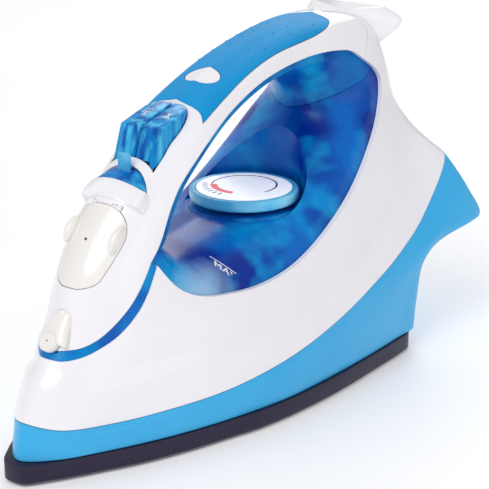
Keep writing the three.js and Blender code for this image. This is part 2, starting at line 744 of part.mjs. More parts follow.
// Finishes
const finish = (color, roughness, metalness = 0, opacity = 1) => (
  () => new THREE.MeshStandardMaterial({ color, roughness, metalness, opacity, transparent: opacity < 1 })
);
const whitePlastic = finish(0xf5f3f7, 0.25);
const bluePlastic = finish(0x42b2e6, 0.3);
const clearBlue = finish(0x0a6fd0, 0.08, 0, 0.6);
const buttonBlue = finish(0x1c6fc4, 0.1, 0, 0.7);
const softBlue = finish(0x009fdc, 0.6);
const darkCoating = finish(0x1c1232, 0.35, 0.3);
const castMetal = finish(0xb4b6ba, 0.45, 0.9);
const steel = finish(0xc4c7cc, 0.3, 1);
const darkPlastic = finish(0x24262c, 0.5);
const seatRubber = finish(0x9aa0a6, 0.7);
const lampAmber = finish(0xffb060, 0.3);

const iron = new THREE.Group();

function addPiece(name, solid, material, parent = iron) {
  const mesh = new THREE.Mesh(geometryOf(solid), material());
  mesh.name = name;
  parent.add(mesh);
  return mesh;
}

function groupIn(matrix) {
  const group = new THREE.Group();
  matrix.decompose(group.position, group.quaternion, group.scale);
  iron.add(group);
  return group;
}

// Soleplate with its steam chamber and vents
const soleOutline = mirroredOutline(soleShares.map(planPoint));
const scaledSole = (share) => soleOutline.map((p) => p.clone().multiplyScalar(share));

function soleplate() {
  const ring = (points, height) => points.map((p) => new THREE.Vector3(p.x, p.y, height));
  const plate = loftedSolid([
    ring(grown(soleOutline, -soleBevel), 0),
    ring(soleOutline, soleBevel),
    ring(soleOutline, soleThickness),
  ]);
  const chamber = planPrism(scaledSole(chamberOutlineShare), soleThickness - chamberDepth, overrun);
  const vents = ventShares.flatMap(([x, y]) => (y === 0 ? [[x, y]] : [[x, y], [x, -y]]));
  const holes = vents.map(([x, y]) => (
    moved(rod(ventRadius, -overrun, overrun / 4, smallSides), x * bodyLength, y * bodyWidth, 0)
  ));
  return without(plate, chamber, ...holes);
}

addPiece("soleplate", soleplate(), darkCoating);

const coverBase = soleThickness + clearance;
const coverTop = coverBase + coverThickness;
const pumpFoot = pressPoint(pumpForward, -pumpBottom);
const tubeX = pumpFoot.x;
const tubeHole = (radius) => moved(rod(radius, -overrun, 3 * overrun, smallSides), tubeX, -pumpOffset, 0);
const coverOutline = scaledSole(coverOutlineShare);
const shaftHole = (radius) => moved(rod(radius, -overrun, 3 * overrun), dialAxisX, 0, 0);

addPiece("steam_chamber_cover", planPrism(coverOutline, coverBase, coverTop), castMetal);

function heatingElement() {
  const height = soleThickness + clearance + elementRadius;
  const half = soleShares.slice(3, elementEndSteps + 1).reverse().map(planPoint);
  const left = half.map((p) => p.multiplyScalar(elementOutlineShare));
  const nose = new THREE.Vector2(elementNoseShare * bodyLength, 0);
  const right = [...left].reverse().map((p) => new THREE.Vector2(p.x, -p.y));
  const path = [...left, nose, ...right].map((p) => new THREE.Vector3(p.x, p.y, height));
  return tubeAlong(path, elementRadius, smallSides, elementSteps);
}

addPiece("heating_element", heatingElement(), steel);

const thermostatBase = coverTop + clearance;
const thermostat = moved(rod(thermostatSize / 2, 0, thermostatHeight), dialAxisX, 0, thermostatBase);
addPiece("thermostat", thermostat, castMetal);

const fuseSolid = rod(fuseRadius, -fuseLength / 2, fuseLength / 2, smallSides);
const fuseX = fuseShare * bodyLength;
const fuse = addPiece("thermal_fuse", fuseSolid, steel);
fuse.rotation.y = Math.PI / 2;
fuse.position.set(fuseX, fuseY, coverTop + clearance + fuseRadius);

function heatShield() {
  const plate = planPrism(scaledSole(shieldOutlineShare), shieldHeight, shieldHeight + shieldThickness);
  const post = (foot, x, y) => {
    return moved(rod(shieldPostRadius, foot, shieldHeight + clearance, smallSides), x, y, 0);
  };
  const posts = shieldPostShares.map(([x, y]) => post(coverBase, x * bodyLength, y * bodyWidth));
  const frontPost = post(coverTop + clearance, frontPostShare * bodyLength, 0);
  return without(joined(plate, ...posts, frontPost), shaftHole(thermostatShaftRadius + clearance),
    tubeHole(tubeRadius + clearance));
}

addPiece("heat_shield", heatShield(), steel);

// Housing
addPiece("skirt", shell.intersect(belowSeam(0)), bluePlastic);

const bodyShell = without(shell, belowSeam(clearance), sidePrism([
  new THREE.Vector2(farFront, hemHeight),
  new THREE.Vector2(farRear, hemHeight),
  new THREE.Vector2(farRear, -overrun),
  new THREE.Vector2(farFront, -overrun),
]), aboveBody, rearSide(clearance), finRoom);
addPiece("body_shell", bodyShell, whitePlastic);

// Rear cover with the fin, the cord inlet and the screw seats
const glandSeat = sidePoint(glandShares).add(new THREE.Vector2(shellWall, 0));
const glandPlace = new THREE.Matrix4().makeTranslation(glandSeat.x, 0, glandSeat.y);
const screwSeat = sidePoint(screwShares);
const backwards = new THREE.Matrix4().makeRotationY(-Math.PI / 2);
const screwPlace = (y) => new THREE.Matrix4().makeTranslation(screwSeat.x, y, screwSeat.y).multiply(backwards);

function ballSolid(radius) {
  return solidOf(new THREE.SphereGeometry(radius, smallSides * 2, smallSides));
}

function screwSolid(growth) {
  const shank = screwShankRadius + growth;
  const head = screwHeadRadius + growth;
  return turned([
    [0, -screwShankLength - growth],
    [shank, -screwShankLength - growth],
    [shank, -growth],
    [head, -growth],
    [head, screwRimHeight],
    [screwHeadRadius / 2 + growth, screwHeadHeight],
    [0, screwHeadHeight],
  ], smallSides * 2);
}

function rearCover() {
  const wall = joined(shell.intersect(rearSide(0)).subtract(belowSeam(clearance)), fin);
  const ballRoom = placed(ballSolid(glandBallRadius + clearance), glandPlace);
  const seats = [1, -1].map((hand) => {
    const radius = screwHeadRadius + shellWall;
    const seat = rod(radius, -shellWall - clearance, screwHeadHeight / 2, smallSides * 2);
    return placed(seat, screwPlace(hand * screwSide));
  });
  const rooms = [1, -1].map((hand) => placed(screwSolid(clearance), screwPlace(hand * screwSide)));
  const trimmedFin = wall.subtract(wallForm.intersect(finRoom));
  return without(joined(trimmedFin, ...seats.map((s) => s.intersect(outerForm))), ballRoom, ...rooms);
}

addPiece("rear_cover", rearCover(), whitePlastic);

function cordGland() {
  const sleeve = turned([
    [0, 0],
    [glandSleeveRadius, 0],
    [glandSleeveRadius, glandBallRadius + glandSleeveLength / 2],
    [glandSleeveEndRadius, glandBallRadius + glandSleeveLength],
    [0, glandBallRadius + glandSleeveLength],
  ]);
  const bore = rod(glandBore, -overrun, overrun, smallSides * 2);
  return joined(ballSolid(glandBallRadius), sleeve).subtract(bore);
}

const gland = addPiece("cord_gland", cordGland(), darkPlastic);
gland.rotation.y = -Math.PI / 2;
gland.position.set(glandSeat.x, 0, glandSeat.y);

[["rear_screw_left", 1], ["rear_screw_right", -1]].forEach(([name, hand]) => {
  const screw = addPiece(name, screwSolid(0), steel);
  screw.rotation.y = -Math.PI / 2;
  screw.position.set(screwSeat.x, hand * screwSide, screwSeat.y);
});

// Water tank
const seatRise = pumpBottom + clearance;
const tankOutline = [
  ...tankFloorShares.map(sidePoint),
  ...tankRearShares.map(sidePoint),
  ...[pressPoint(pumpForward - pumpSeatRear, -seatRise), pressPoint(pumpForward + pumpSeatFront, -seatRise)]
    .map((p) => new THREE.Vector2(p.x, p.z)),
  ...tankFrontShares.map(sidePoint),
];
const neckDepth = doorDepth + doorSag + sealThickness + 2 * clearance;
const dialPocket = (radius, height) => moved(rod(radius, height, height + overrun), dialAxisX, 0, 0);

function waterTank() {
  const pocket = dialPocket(dialPocketRadius, platformHeight);
  const collarFoot = platformHeight - tankWall / 2;
  const collar = moved(rod(dialRadius, collarFoot, platformHeight + neckHeight), dialAxisX, 0, 0);
  const neck = placed(rod(neckRadius, -neckFoot, -neckDepth), doorFrame);
  const outside = without(innerForm.intersect(sidePrism(tankOutline)), tunnel, pocket);
  const inside = without(
    formAt(innerDepth + tankWall).intersect(sidePrism(grown(tankOutline, -tankWall))),
    tunnelSolid(tankWall),
    dialPocket(dialPocketRadius + tankWall, platformHeight - tankWall),
    shaftHole(thermostatShaftRadius + 2 * clearance + wellWall),
    tubeHole(tubeRadius + clearance + wellWall),
    nozzleRoom(clearance + tankWall),
  );
  return without(
    joined(outside, collar, neck),
    inside,
    placed(rod(neckBore, -neckFoot, overrun), doorFrame),
    shaftHole(thermostatShaftRadius + 2 * clearance),
    tubeHole(tubeRadius + clearance),
    nozzleRoom(clearance),
  );
}

addPiece("water_tank", waterTank(), clearBlue);

// Handle
const gripRegion = sidePrism(gripOutline);

function lensPrism(growth) {
  const curve = new THREE.EllipseCurve(lensX, 0, lensLength / 2 + growth, lensWidth / 2 + growth);
  return planPrism(curve.getPoints(roundSides).slice(0, -1), bodyHeight / 2, farTop);
}

const leverHeight = (radius) => leverCrown * (1 - (radius / leverRadius) ** 2);

function leverDome(lift, thickness, edge) {
  const radii = leverDomeShares.map((share) => share * edge);
  const top = radii.map((radius) => [radius, leverHeight(radius) + lift]).reverse();
  const bottom = radii.map((radius) => [radius, leverHeight(radius) + lift - thickness]);
  return turned([...bottom, ...top]);
}

const seatEdge = leverRadius + clearance + shellWall;
const seatSide = (reach) => box(
  new THREE.Vector3(-overrun, -overrun, -overrun),
  new THREE.Vector3(reach, overrun, overrun),
);

function leverSeat() {
  const drop = -leverThickness - clearance;
  const dome = leverDome(drop, shellWall, seatEdge);
  const low = leverHeight(seatEdge) + drop;
  const outer = rod(seatEdge, low - 2 * shellWall, overrun / 2);
  const ring = outer.subtract(rod(leverRadius + clearance, -overrun, overrun));
  const buried = outer.intersect(rod(seatEdge, -overrun, low)).subtract(rod(leverRadius, -overrun, overrun));
  const rim = placed(ring, leverFrame).intersect(outerForm);
  const slotHalf = THREE.MathUtils.degToRad(leverSwing) + 2 * leverPinRadius / leverPinReach;
  const slot = new THREE.Shape();
  const slotWidth = leverPinRadius + clearance;
  slot.absarc(0, 0, leverPinReach + slotWidth, Math.PI - slotHalf, Math.PI + slotHalf, false);
  slot.absarc(0, 0, leverPinReach - slotWidth, Math.PI + slotHalf, Math.PI - slotHalf, true);
  const slotCut = planPrism(slot.getPoints(slotSteps), -overrun / 2, overrun / 2);
  const seat = joined(placed(dome, leverFrame), rim, placed(buried, leverFrame));
  const side = placed(seatSide(leverSeatReach + clearance * 3), leverFrame);
  return seat.subtract(placed(slotCut, leverFrame)).intersect(side);
}

const buttonHalfLength = buttonLength / 2;

// The plan of both buttons together, round at the rear
function buttonPrism(growth) {
  const reach = buttonHalfLength + growth;
  const side = buttonSplit / 2 + buttonWidth + growth;
  const radius = buttonRound + growth;
  const shape = new THREE.Shape();
  shape.moveTo(reach, -side);
  shape.lineTo(reach, side);
  shape.absarc(radius - reach, side - radius, radius, Math.PI / 2, Math.PI, false);
  shape.absarc(radius - reach, radius - side, radius, Math.PI, 1.5 * Math.PI, false);
  return planPrism(shape.getPoints(roundSides / 4), buttonFrontTop - buttonSkirt * 2, buttonFrontTop + buttonRise * 2);
}

function handleShell() {
  const wall = shell.intersect(handleSide);
  const gripRoom = sidePrism(grown(gripOutline, clearance)).subtract(formAt(gripThickness + clearance));
  const bedRegion = sidePrism(grown(gripOutline, shellWall));
  const bed = outerForm.subtract(formAt(gripThickness + clearance + shellWall)).intersect(bedRegion);
  const leverRound = rod(leverRadius + clearance, -overrun / 4, overrun / 2);
  const leverRoom = placed(leverRound.intersect(seatSide(leverSeatReach)), leverFrame);
  const lugs = [1, -1].map((hand) => (
    moved(alongY(doorKnuckleRadius, (doorPinLength - doorKnuckleLength) / 4 - clearance), 0,
      hand * (doorPinLength + doorKnuckleLength) / 4, 0)
  ));
  const lugWalls = lugs.map((lug) => placed(lug, hingePlace).intersect(outerForm));
  const rooms = [gripRoom, leverRoom, doorPrism(clearance), ears(clearance)];
  const walls = without(joined(wall, bed.intersect(handleSide)), ...rooms);
  return without(
    joined(walls, leverSeat(), ...lugWalls),
    placed(buttonPrism(clearance), pressFrame),
    nozzleRoom(clearance),
    placed(alongY(doorKnuckleRadius + clearance, doorKnuckleLength / 2 + clearance), hingePlace),
    placed(alongY(doorPinRadius + clearance, doorPinLength / 2 + clearance), hingePlace),
    moved(rod(lampRadius + clearance, 0, bodyHeight), lensX, 0, 0),
    lensPrism(clearance).subtract(formAt(gripThickness)),
    finRoom,
  );
}

addPiece("handle_shell", handleShell(), whitePlastic);

function handleLiner() {
  const tuck = shellWall / 2;
  const region = sidePrism(grown(apertureOutline, tuck));
  const bedRegion = sidePrism(grown(gripOutline, shellWall + clearance));
  const bedRoom = formAt(gripThickness - clearance).intersect(bedRegion);
  const tankRoom = sidePrism(grown(tankOutline, clearance));
  const channel = without(innerForm.intersect(region), tunnel, tankRoom, bedRoom);
  const hollow = formAt(innerDepth + linerWall).subtract(tunnelSolid(linerWall));
  return channel.subtract(hollow);
}

addPiece("handle_liner", handleLiner(), clearBlue);

const gripSkin = outerForm.subtract(formAt(gripThickness)).intersect(gripRegion);
addPiece("soft_grip", without(gripSkin, lensPrism(clearance), finRoom), softBlue);
const lensSkin = outerForm.subtract(formAt(gripThickness)).intersect(lensPrism(0));
addPiece("lamp_lens", lensSkin, whitePlastic);

const lampTop = lensSkin.boundingBox().min[2] - clearance;
const lamp = addPiece("pilot_lamp", rod(lampRadius, -lampLength, 0, smallSides), lampAmber);
lamp.position.set(lensX, 0, lampTop);

// Temperature dial
const dialBase = dialTop - dialRimHeight;
const dialHubBase = dialBase - dialHubHeight;
const dialGroup = new THREE.Group();
dialGroup.position.set(dialAxisX, 0, 0);
iron.add(dialGroup);

function dialBody() {
  const floor = dialTop - dialFaceThickness - clearance;
  return turned([
    [0, dialHubBase],
    [dialHubRadius, dialHubBase],
    [dialHubRadius, dialBase],
    [dialRadius - dialFootInset, dialBase],
    [dialRadius, dialBase + dialEdge],
    [dialRadius, dialTop - dialEdge],
    [dialFaceRadius + clearance, dialTop],
    [dialFaceRadius + clearance, floor],
    [0, floor],
  ], dialSides);
}

addPiece("temperature_dial", dialBody(), buttonBlue, dialGroup);
const dialFace = rod(dialFaceRadius, dialTop - dialFaceThickness, dialTop, dialSides);
addPiece("dial_face", dialFace, whitePlastic, dialGroup);
const shaftLow = thermostatBase + thermostatHeight + clearance;
const dialShaft = rod(thermostatShaftRadius, shaftLow, dialHubBase - clearance, smallSides);
addPiece("thermostat_shaft", dialShaft, steel, dialGroup);

// Steam lever with its valve rod
const leverGroup = groupIn(leverFrame);

function steamLever() {
  const sector = box(
    new THREE.Vector3(-2 * leverRadius, -2 * leverRadius, -overrun),
    new THREE.Vector3(-leverChord, 2 * leverRadius, overrun),
  );
  const dome = leverDome(0, leverThickness, leverRadius).intersect(sector);
  const tabFoot = leverRadius - tabInset;
  const tabGeometry = new THREE.BoxGeometry(tabThickness, tabWidth, tabHeight);
  tabGeometry.translate(0, 0, tabHeight / 2 - tabThickness);
  tabGeometry.rotateY(-leverTilt);
  tabGeometry.translate(-tabFoot, 0, leverHeight(tabFoot) + tabThickness / 2);
  const pinTop = leverHeight(leverPinReach) - leverThickness / 2;
  const pin = moved(rod(leverPinRadius, -leverCrown, pinTop, smallSides), -leverPinReach, 0, 0);
  return joined(dome, solidOf(tabGeometry), pin);
}

addPiece("steam_lever", steamLever(), clearBlue, leverGroup);

function valveRod() {
  const hubTop = leverHeight(0) - leverThickness - clearance - shellWall - clearance;
  const hub = rod(valveHubRadius, -leverCrown, hubTop, smallSides * 2);
  const armTop = leverHeight(leverPinReach + valveHubRadius) - leverThickness - shellWall - 2 * clearance;
  const arm = box(
    new THREE.Vector3(-leverPinReach - valveHubRadius, -valveHubRadius, -leverCrown),
    new THREE.Vector3(0, valveHubRadius, armTop),
  );
  const stem = rod(valveRodRadius, -leverCrown - valveRodLength, 0, smallSides);
  const pinRoom = moved(rod(leverPinRadius + clearance, -overrun, overrun, smallSides), -leverPinReach, 0, 0);
  return joined(hub, arm, stem).subtract(pinRoom);
}

addPiece("steam_valve_rod", valveRod(), darkPlastic, leverGroup);

// Push buttons, pistons, springs and pumps
const pressGroup = groupIn(pressFrame);
const bossLow = -pumpTop / 2;
const springLow = -pumpTop + clearance;
const springHigh = bossLow - clearance;
const springCoil = (pumpRadius + pumpBoreRadius) / 2;

function pushButton(bossSide, middle) {
  const corners = [
    [buttonHalfLength, buttonFrontTop - buttonSkirt],
    [buttonHalfLength, buttonFrontTop],
    [-buttonHalfLength, buttonFrontTop + buttonRise],
    [-buttonHalfLength, buttonFrontTop + buttonRise - buttonSkirt],
  ].map(([x, z]) => new THREE.Vector2(x, z));
  const shape = new THREE.Shape(grown(corners, -buttonEdge));
  const geometry = new THREE.ExtrudeGeometry(shape, {
    depth: buttonWidth - 2 * buttonEdge,
    bevelSize: buttonEdge,
    bevelThickness: buttonEdge,
    bevelSegments: bevelSteps,
  });
  geometry.rotateX(Math.PI / 2);
  geometry.translate(0, buttonWidth / 2 - buttonEdge, 0);
  const boss = moved(rod(pumpRadius, bossLow, buttonFrontTop), pumpForward, bossSide, 0);
  return joined(solidOf(geometry).intersect(moved(buttonPrism(0), 0, -middle, 0)), boss);
}

function pumpBody() {
  const floor = -pumpBottom + pumpRadius / 2;
  return turned([
    [0, -pumpBottom],
    [pumpRadius, -pumpBottom],
    [pumpRadius, -pumpTop],
    [pumpBoreRadius, -pumpTop],
    [pumpBoreRadius, floor],
    [0, floor],
  ]);
}

function pistonSolid() {
  const headTop = -pumpTop - buttonTravel;
  return turned([
    [0, headTop - pistonHeadLength],
    [pistonRadius, headTop - pistonHeadLength],
    [pistonRadius, headTop],
    [pistonStem, headTop],
    [pistonStem, bossLow - clearance],
    [0, bossLow - clearance],
  ], smallSides * 2);
}

function coilSpring() {
  const count = springTurns * turnSteps;
  const rise = springHigh - springLow - 2 * springWire;
  const points = Array.from({ length: count + 1 }, (_, i) => {
    const angle = (2 * Math.PI * i) / turnSteps;
    const height = springLow + springWire + (rise * i) / count;
    return new THREE.Vector3(springCoil * Math.cos(angle), springCoil * Math.sin(angle), height);
  });
  return tubeAlong(points, springWire, wireSides, count);
}

const pumpSides = [["spray", 1], ["steam", -1]];
pumpSides.forEach(([name, hand]) => {
  const middle = hand * (buttonSplit + buttonWidth) / 2;
  const bossSide = hand * pumpOffset - middle;
  const button = addPiece(name + "_button", pushButton(bossSide, middle), buttonBlue, pressGroup);
  button.position.set(0, middle, 0);
  [["_pump", pumpBody, darkPlastic], ["_piston", pistonSolid, darkPlastic], ["_spring", coilSpring, steel]]
    .forEach(([part, build, material]) => {
      const piece = addPiece(name + part, build(), material, pressGroup);
      piece.position.set(pumpForward, hand * pumpOffset, 0);
    });
});

const dripSolid = rod(dripRadius, -pumpBottom, -dripTop, smallSides);
const dripValve = addPiece("drip_valve", dripSolid, darkPlastic, pressGroup);
dripValve.position.set(dripForward, 0, 0);

// Steam tube down through the tank
const tubeTop = pumpFoot.z - pumpRadius * Math.sin(pressTilt) - 2 * clearance;
const tubeSolid = rod(tubeRadius, coverTop + clearance, tubeTop, smallSides);
const steamTube = addPiece("steam_tube", tubeSolid, seatRubber);
steamTube.position.set(tubeX, -pumpOffset, 0);

// Spray nozzle and its hose
const nozzleGroup = groupIn(nozzleFrame);
const nozzleSolid = turned([
  [0, -nozzleLength],
  [nozzleRearRadius, -nozzleLength],
  [nozzleTipRadius, -clearance],
  [nozzleRimRadius, 0],
  [nozzleHoleRadius * 2, 0],
  [nozzleHoleRadius, -clearance],
  [nozzleHoleRadius, -clearance - nozzleTipRadius],
  [0, -clearance - nozzleTipRadius],
]);
addPiece("spray_nozzle", nozzleSolid, whitePlastic, nozzleGroup);

function sprayHose() {
  const port = hosePortHeight - pumpBottom;
  const start = [clearance, hosePortLead].map((lead) => (
    new THREE.Vector3(pumpForward + pumpRadius + lead, pumpOffset, port).applyMatrix4(pressFrame)
  ));
  const end = [hoseLead, clearance].map((lead) => (
    new THREE.Vector3(0, 0, -nozzleLength - lead).applyMatrix4(nozzleFrame)
  ));
  return tubeAlong([...start, ...hoseShares.map(formPoint), ...end], hoseRadius, smallSides, hoseSteps);
}

addPiece("spray_hose", sprayHose(), seatRubber);

// Filler door with its pin and seal
addPiece("filler_door", fillerDoor(), whitePlastic);
const doorPin = addPiece("door_pin", alongY(doorPinRadius, doorPinLength / 2), steel);
doorPin.position.setFromMatrixPosition(hingePlace);
const sealTop = -doorDepth - doorSag - clearance;
const doorGroup = groupIn(doorFrame);
addPiece("filler_seal", rod(neckRadius, sealTop - sealThickness, sealTop), seatRubber, doorGroup);

// Terminal block behind the tank
const terminalX = tankRearShares[0][0] * bodyLength - clearance;
const terminalZ = tankRearShares[0][1] * bodyHeight;
const terminal = box(
  new THREE.Vector3(terminalX - terminalDepth, -terminalWidth / 2, terminalZ),
  new THREE.Vector3(terminalX, terminalWidth / 2, terminalZ + terminalHeight),
);
addPiece("terminal_block", terminal, darkPlastic);

export default iron;
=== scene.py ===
import json
import math

import bpy
import numpy as np
from mathutils import Matrix, Vector

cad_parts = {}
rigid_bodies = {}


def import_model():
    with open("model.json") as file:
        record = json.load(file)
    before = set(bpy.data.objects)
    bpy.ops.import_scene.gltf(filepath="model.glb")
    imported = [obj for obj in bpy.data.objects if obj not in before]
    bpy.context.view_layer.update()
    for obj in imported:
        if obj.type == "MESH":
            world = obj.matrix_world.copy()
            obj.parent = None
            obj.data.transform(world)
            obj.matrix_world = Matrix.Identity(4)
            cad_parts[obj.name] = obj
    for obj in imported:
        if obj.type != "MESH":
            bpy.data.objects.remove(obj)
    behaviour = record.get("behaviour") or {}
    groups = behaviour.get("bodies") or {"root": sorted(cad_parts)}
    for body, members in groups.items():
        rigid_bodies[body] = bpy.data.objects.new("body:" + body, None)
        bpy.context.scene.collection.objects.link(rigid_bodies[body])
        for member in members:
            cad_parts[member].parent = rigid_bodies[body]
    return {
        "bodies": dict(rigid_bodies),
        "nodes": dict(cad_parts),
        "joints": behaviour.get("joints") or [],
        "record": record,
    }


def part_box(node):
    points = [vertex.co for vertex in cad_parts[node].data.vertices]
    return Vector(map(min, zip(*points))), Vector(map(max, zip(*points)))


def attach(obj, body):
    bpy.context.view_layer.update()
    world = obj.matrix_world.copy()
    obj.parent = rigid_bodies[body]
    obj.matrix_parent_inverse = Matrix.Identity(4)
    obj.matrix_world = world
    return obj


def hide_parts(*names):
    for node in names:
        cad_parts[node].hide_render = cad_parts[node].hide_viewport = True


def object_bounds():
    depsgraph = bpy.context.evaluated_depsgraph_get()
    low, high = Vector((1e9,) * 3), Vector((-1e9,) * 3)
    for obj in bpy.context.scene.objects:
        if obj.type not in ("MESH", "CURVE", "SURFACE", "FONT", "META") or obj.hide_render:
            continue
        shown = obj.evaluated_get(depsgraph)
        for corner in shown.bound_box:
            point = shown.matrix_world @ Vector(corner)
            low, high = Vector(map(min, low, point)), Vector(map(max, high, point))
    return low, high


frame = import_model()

# A steam iron dressed round its solids: metres, nose towards +X, +Z up
cad_low, cad_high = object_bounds()
mm = 0.001


def box_size(node):
    """The size of a solid's box in the frame, to a hundredth of a millimetre."""
    low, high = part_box(node)
    return [round(end - start, 5) for start, end in zip(low, high)]


# Driving dimensions from the frame, to a millimetre, and the walls and gaps of the part
length, width, height = (round(high - low, 3) for low, high in zip(cad_low, cad_high))
shell_wall = 2.2 * mm
tank_wall = 1.8 * mm
liner_wall = 1.8 * mm
grip_thickness = 2.4 * mm
clearance = 0.3 * mm
overrun = 40 * mm
tunnel_lip = 1.5 * mm
flare_power = 1.6
merge_distance = 0.002 * mm

# Soleplate
sole_thickness = box_size("soleplate")[2]
sole_bevel = 1.8 * mm
sole_edge = 0.4 * mm
vent_radius = 1.5 * mm

# Temperature dial and the tank round it
dial_radius = box_size("temperature_dial")[0] / 2
dial_top = round(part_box("dial_face")[1][2], 5)
dial_rim_height = 5.4 * mm
dial_face_radius = box_size("dial_face")[0] / 2
dial_face_thickness = box_size("dial_face")[2]
dial_edge = 1.9 * mm
dial_face_edge = 0.2 * mm
dial_hub_radius = 8 * mm
dial_hub_depth = 2 * mm
dial_pocket_radius = 29.5 * mm
platform_height = 83 * mm
collar_height = 1.2 * mm
collar_depth = 4 * mm
collar_radius = 27.4 * mm
collar_edge = 1.4 * mm
shaft_tube_radius = 4.6 * mm
shaft_tube_bore = 3.2 * mm
neck_radius = 6.6 * mm
neck_bore = 5 * mm
neck_low = -20 * mm
neck_high = -5.6 * mm
band_depth = 0.5 * mm

# Push buttons and their pumps
button_width = box_size("spray_button")[1]
button_split = 0.6 * mm
button_length = 19.4 * mm
button_skirt = 17.5 * mm
button_hollow_radius = 5.1 * mm
boss_radius = 4.4 * mm
boss_length = 12 * mm
boss_side = 0.6 * mm
skirt_step = 11.5 * mm
skirt_step_back = 6 * mm
skirt_step_side = 3 * mm
button_rise = 13.4 * mm
button_front_top = 2.7 * mm
button_edge = 1.1 * mm
button_round = 7 * mm
button_well_gap = 0.6 * mm
pump_bottom = 47.8 * mm
pump_forward = 4 * mm
pump_seat_back = 6 * mm
pump_seat_front = 8 * mm

# Steam lever
lever_radius = 15 * mm
lever_crown = 5.5 * mm
lever_thickness = 2.2 * mm
lever_chord = 5 * mm
lever_edge = 0.3 * mm
lever_seat_reach = 2.4 * mm
lever_swing = 25  # degrees each way
lever_ridge = 0.3 * mm
lever_rings_start = 7.5 * mm
lever_ring_step = 2.5 * mm
lever_pin_radius = 0.9 * mm
lever_pin_back = 9.4 * mm
tab_width = 6.6 * mm
tab_thickness = 1.8 * mm
tab_height = 9 * mm
tab_inset = 2.7 * mm
tab_edge = 0.6 * mm

# Hood that carries the lever's dome on to the door
hood_skin = 0.4 * mm
hood_spread = 1 * mm
hood_edge = 0.9 * mm
hood_fall_sizes = [  # forward of the lever's middle and up, in mm
    [-4.7, 6.1], [-3, 5.8], [-2, 5.4], [-1, 4.75], [0, 3.9], [1.2, 2.6], [2.4, 1.2], [3.4, 0.2],
]

# Filler door and spray nozzle
door_length = 22.4 * mm
door_half_width = box_size("filler_door")[1] / 2
door_depth = 2.2 * mm
door_hinge_back = 16.4 * mm
door_hinge_rise = 0.2 * mm
door_knuckle_radius = 1.5 * mm
door_knuckle_length = 13 * mm
door_pin_length = box_size("door_pin")[1]
door_dot_radius = 0.5 * mm
door_dot_depth = 0.6 * mm
door_dot_place = [94.6 * mm, 95.3 * mm]
hinge_gap = 0.12 * mm
hinge_bore = 1.05 * mm
bridge_start = 1 * mm
bridge_end = 4.8 * mm
bridge_half = 1.1 * mm
ear_length = 6.6 * mm
ear_width = 2.4 * mm
ear_height = 3.4 * mm
ear_forward = -3 * mm
ear_side = 12.6 * mm
ear_depth = -1.6 * mm
nozzle_tip_radius = 3.4 * mm
nozzle_rear_radius = 3 * mm
nozzle_length = 17 * mm
nozzle_mouth_sizes = [  # inwards from the tip's rim and along, in mm
    [0, -1.2], [0.35, -0.35], [1.2, 0], [1.5, 0], [2.5, -0.8], [2.5, -4],
]
nozzle_disc_radius = 4.3 * mm
nozzle_disc_rise = 4 * mm
nozzle_disc_back = 2.6 * mm
nozzle_disc_edge = 0.5 * mm
nozzle_disc_hole = 0.45 * mm
nozzle_hood_floor = 1 * mm
nozzle_hood_squareness = 0.75
nozzle_hood_sizes = [  # along, half width and rise, in mm
    [-17.5, 4.2, 1.6], [-17, 4.6, 2.4], [-12, 5.8, 3.2], [-7, 6.9, 3.5], [-3, 7.8, 3.2], [-2.4, 7.6, 2.8],
]

# Cord inlet, screws and lamp
gland_ball_radius = box_size("cord_gland")[1] / 2
gland_sleeve_radius = 4.4 * mm
gland_sleeve_length = 13 * mm
gland_bore = 2.8 * mm
gland_bore_depth = 4 * mm
gland_swing = 25  # degrees each way
gland_rib_count = 6
gland_rib_length = 1.2 * mm
gland_rib_thinning = 0.14 * mm
gland_groove_depth = 0.6 * mm
gland_groove_length = 0.4 * mm
gland_groove_slope = 0.15 * mm
gland_end_thinning = 1.1 * mm
screw_head_radius = box_size("rear_screw_left")[1] / 2
screw_head_height = 2 * mm
screw_head_side = 1.2 * mm
screw_shank_radius = 1.5 * mm
screw_shank_length = 8 * mm
screw_slot_sizes = [3.6 * mm, 0.8 * mm, 1.8 * mm]
screw_side = 8 * mm
lens_length, lens_width = box_size("lamp_lens")[:2]
lens_sink = 0.15 * mm

# Printed marks, as strokes in mm, and dots on the grip
mark_rise = 0.12 * mm
mark_sink = 0.08 * mm
icon_line = 0.55 * mm
level_line = 0.5 * mm
level_mark_place = [41.5 * mm, 74.5 * mm]
level_mark_turn = -60  # degrees
level_letters = [
    [(0, 0), (0, 2.2), (0.8, 1), (1.6, 2.2), (1.6, 0)],
    [(2.4, 0), (3.3, 2.2), (4.2, 0)],
    [(2.7, 0.8), (3.9, 0.8)],
    [(4.8, 0), (6.4, 2.2)],
    [(4.8, 2.2), (6.4, 0)],
    [(-1, 3.2), (8.4, 3.2)],
]
spray_icon = [
    [(-1.6, 0), (-0.2, 0)],
    [(0.5, 0), (2.2, 0)],
    [(0.4, 0.6), (1.9, 1.5)],
    [(0.4, -0.6), (1.9, -1.5)],
    [(-1.6, 0.9), (-1.6, -0.9)],
]
steam_icon_arcs = [  # middle, radius, first and last degree, steps
    [(-1.2, 0), 2, 125, 235, 8],
    [(0, 1.1), 1, 20, 250, 6],
    [(1.9, 0.3), 1, 200, 420, 6],
    [(0.2, -1.3), 0.9, 60, 280, 6],
]
grip_dot_radius = 0.6 * mm
grip_dot_sink = 0.3 * mm
grip_dot_step = 9.5 * mm
grip_dot_count = 6
grip_dots_front_share = -0.012
grip_dot_rows = [72, 74, 76]

# Smoothness
around_steps = 8
across_steps = 6
outline_steps = 4
round_steps = 64
fine_steps = 96
seam_row = 6
crease_row = 7
crease_depth = 1.5 * mm

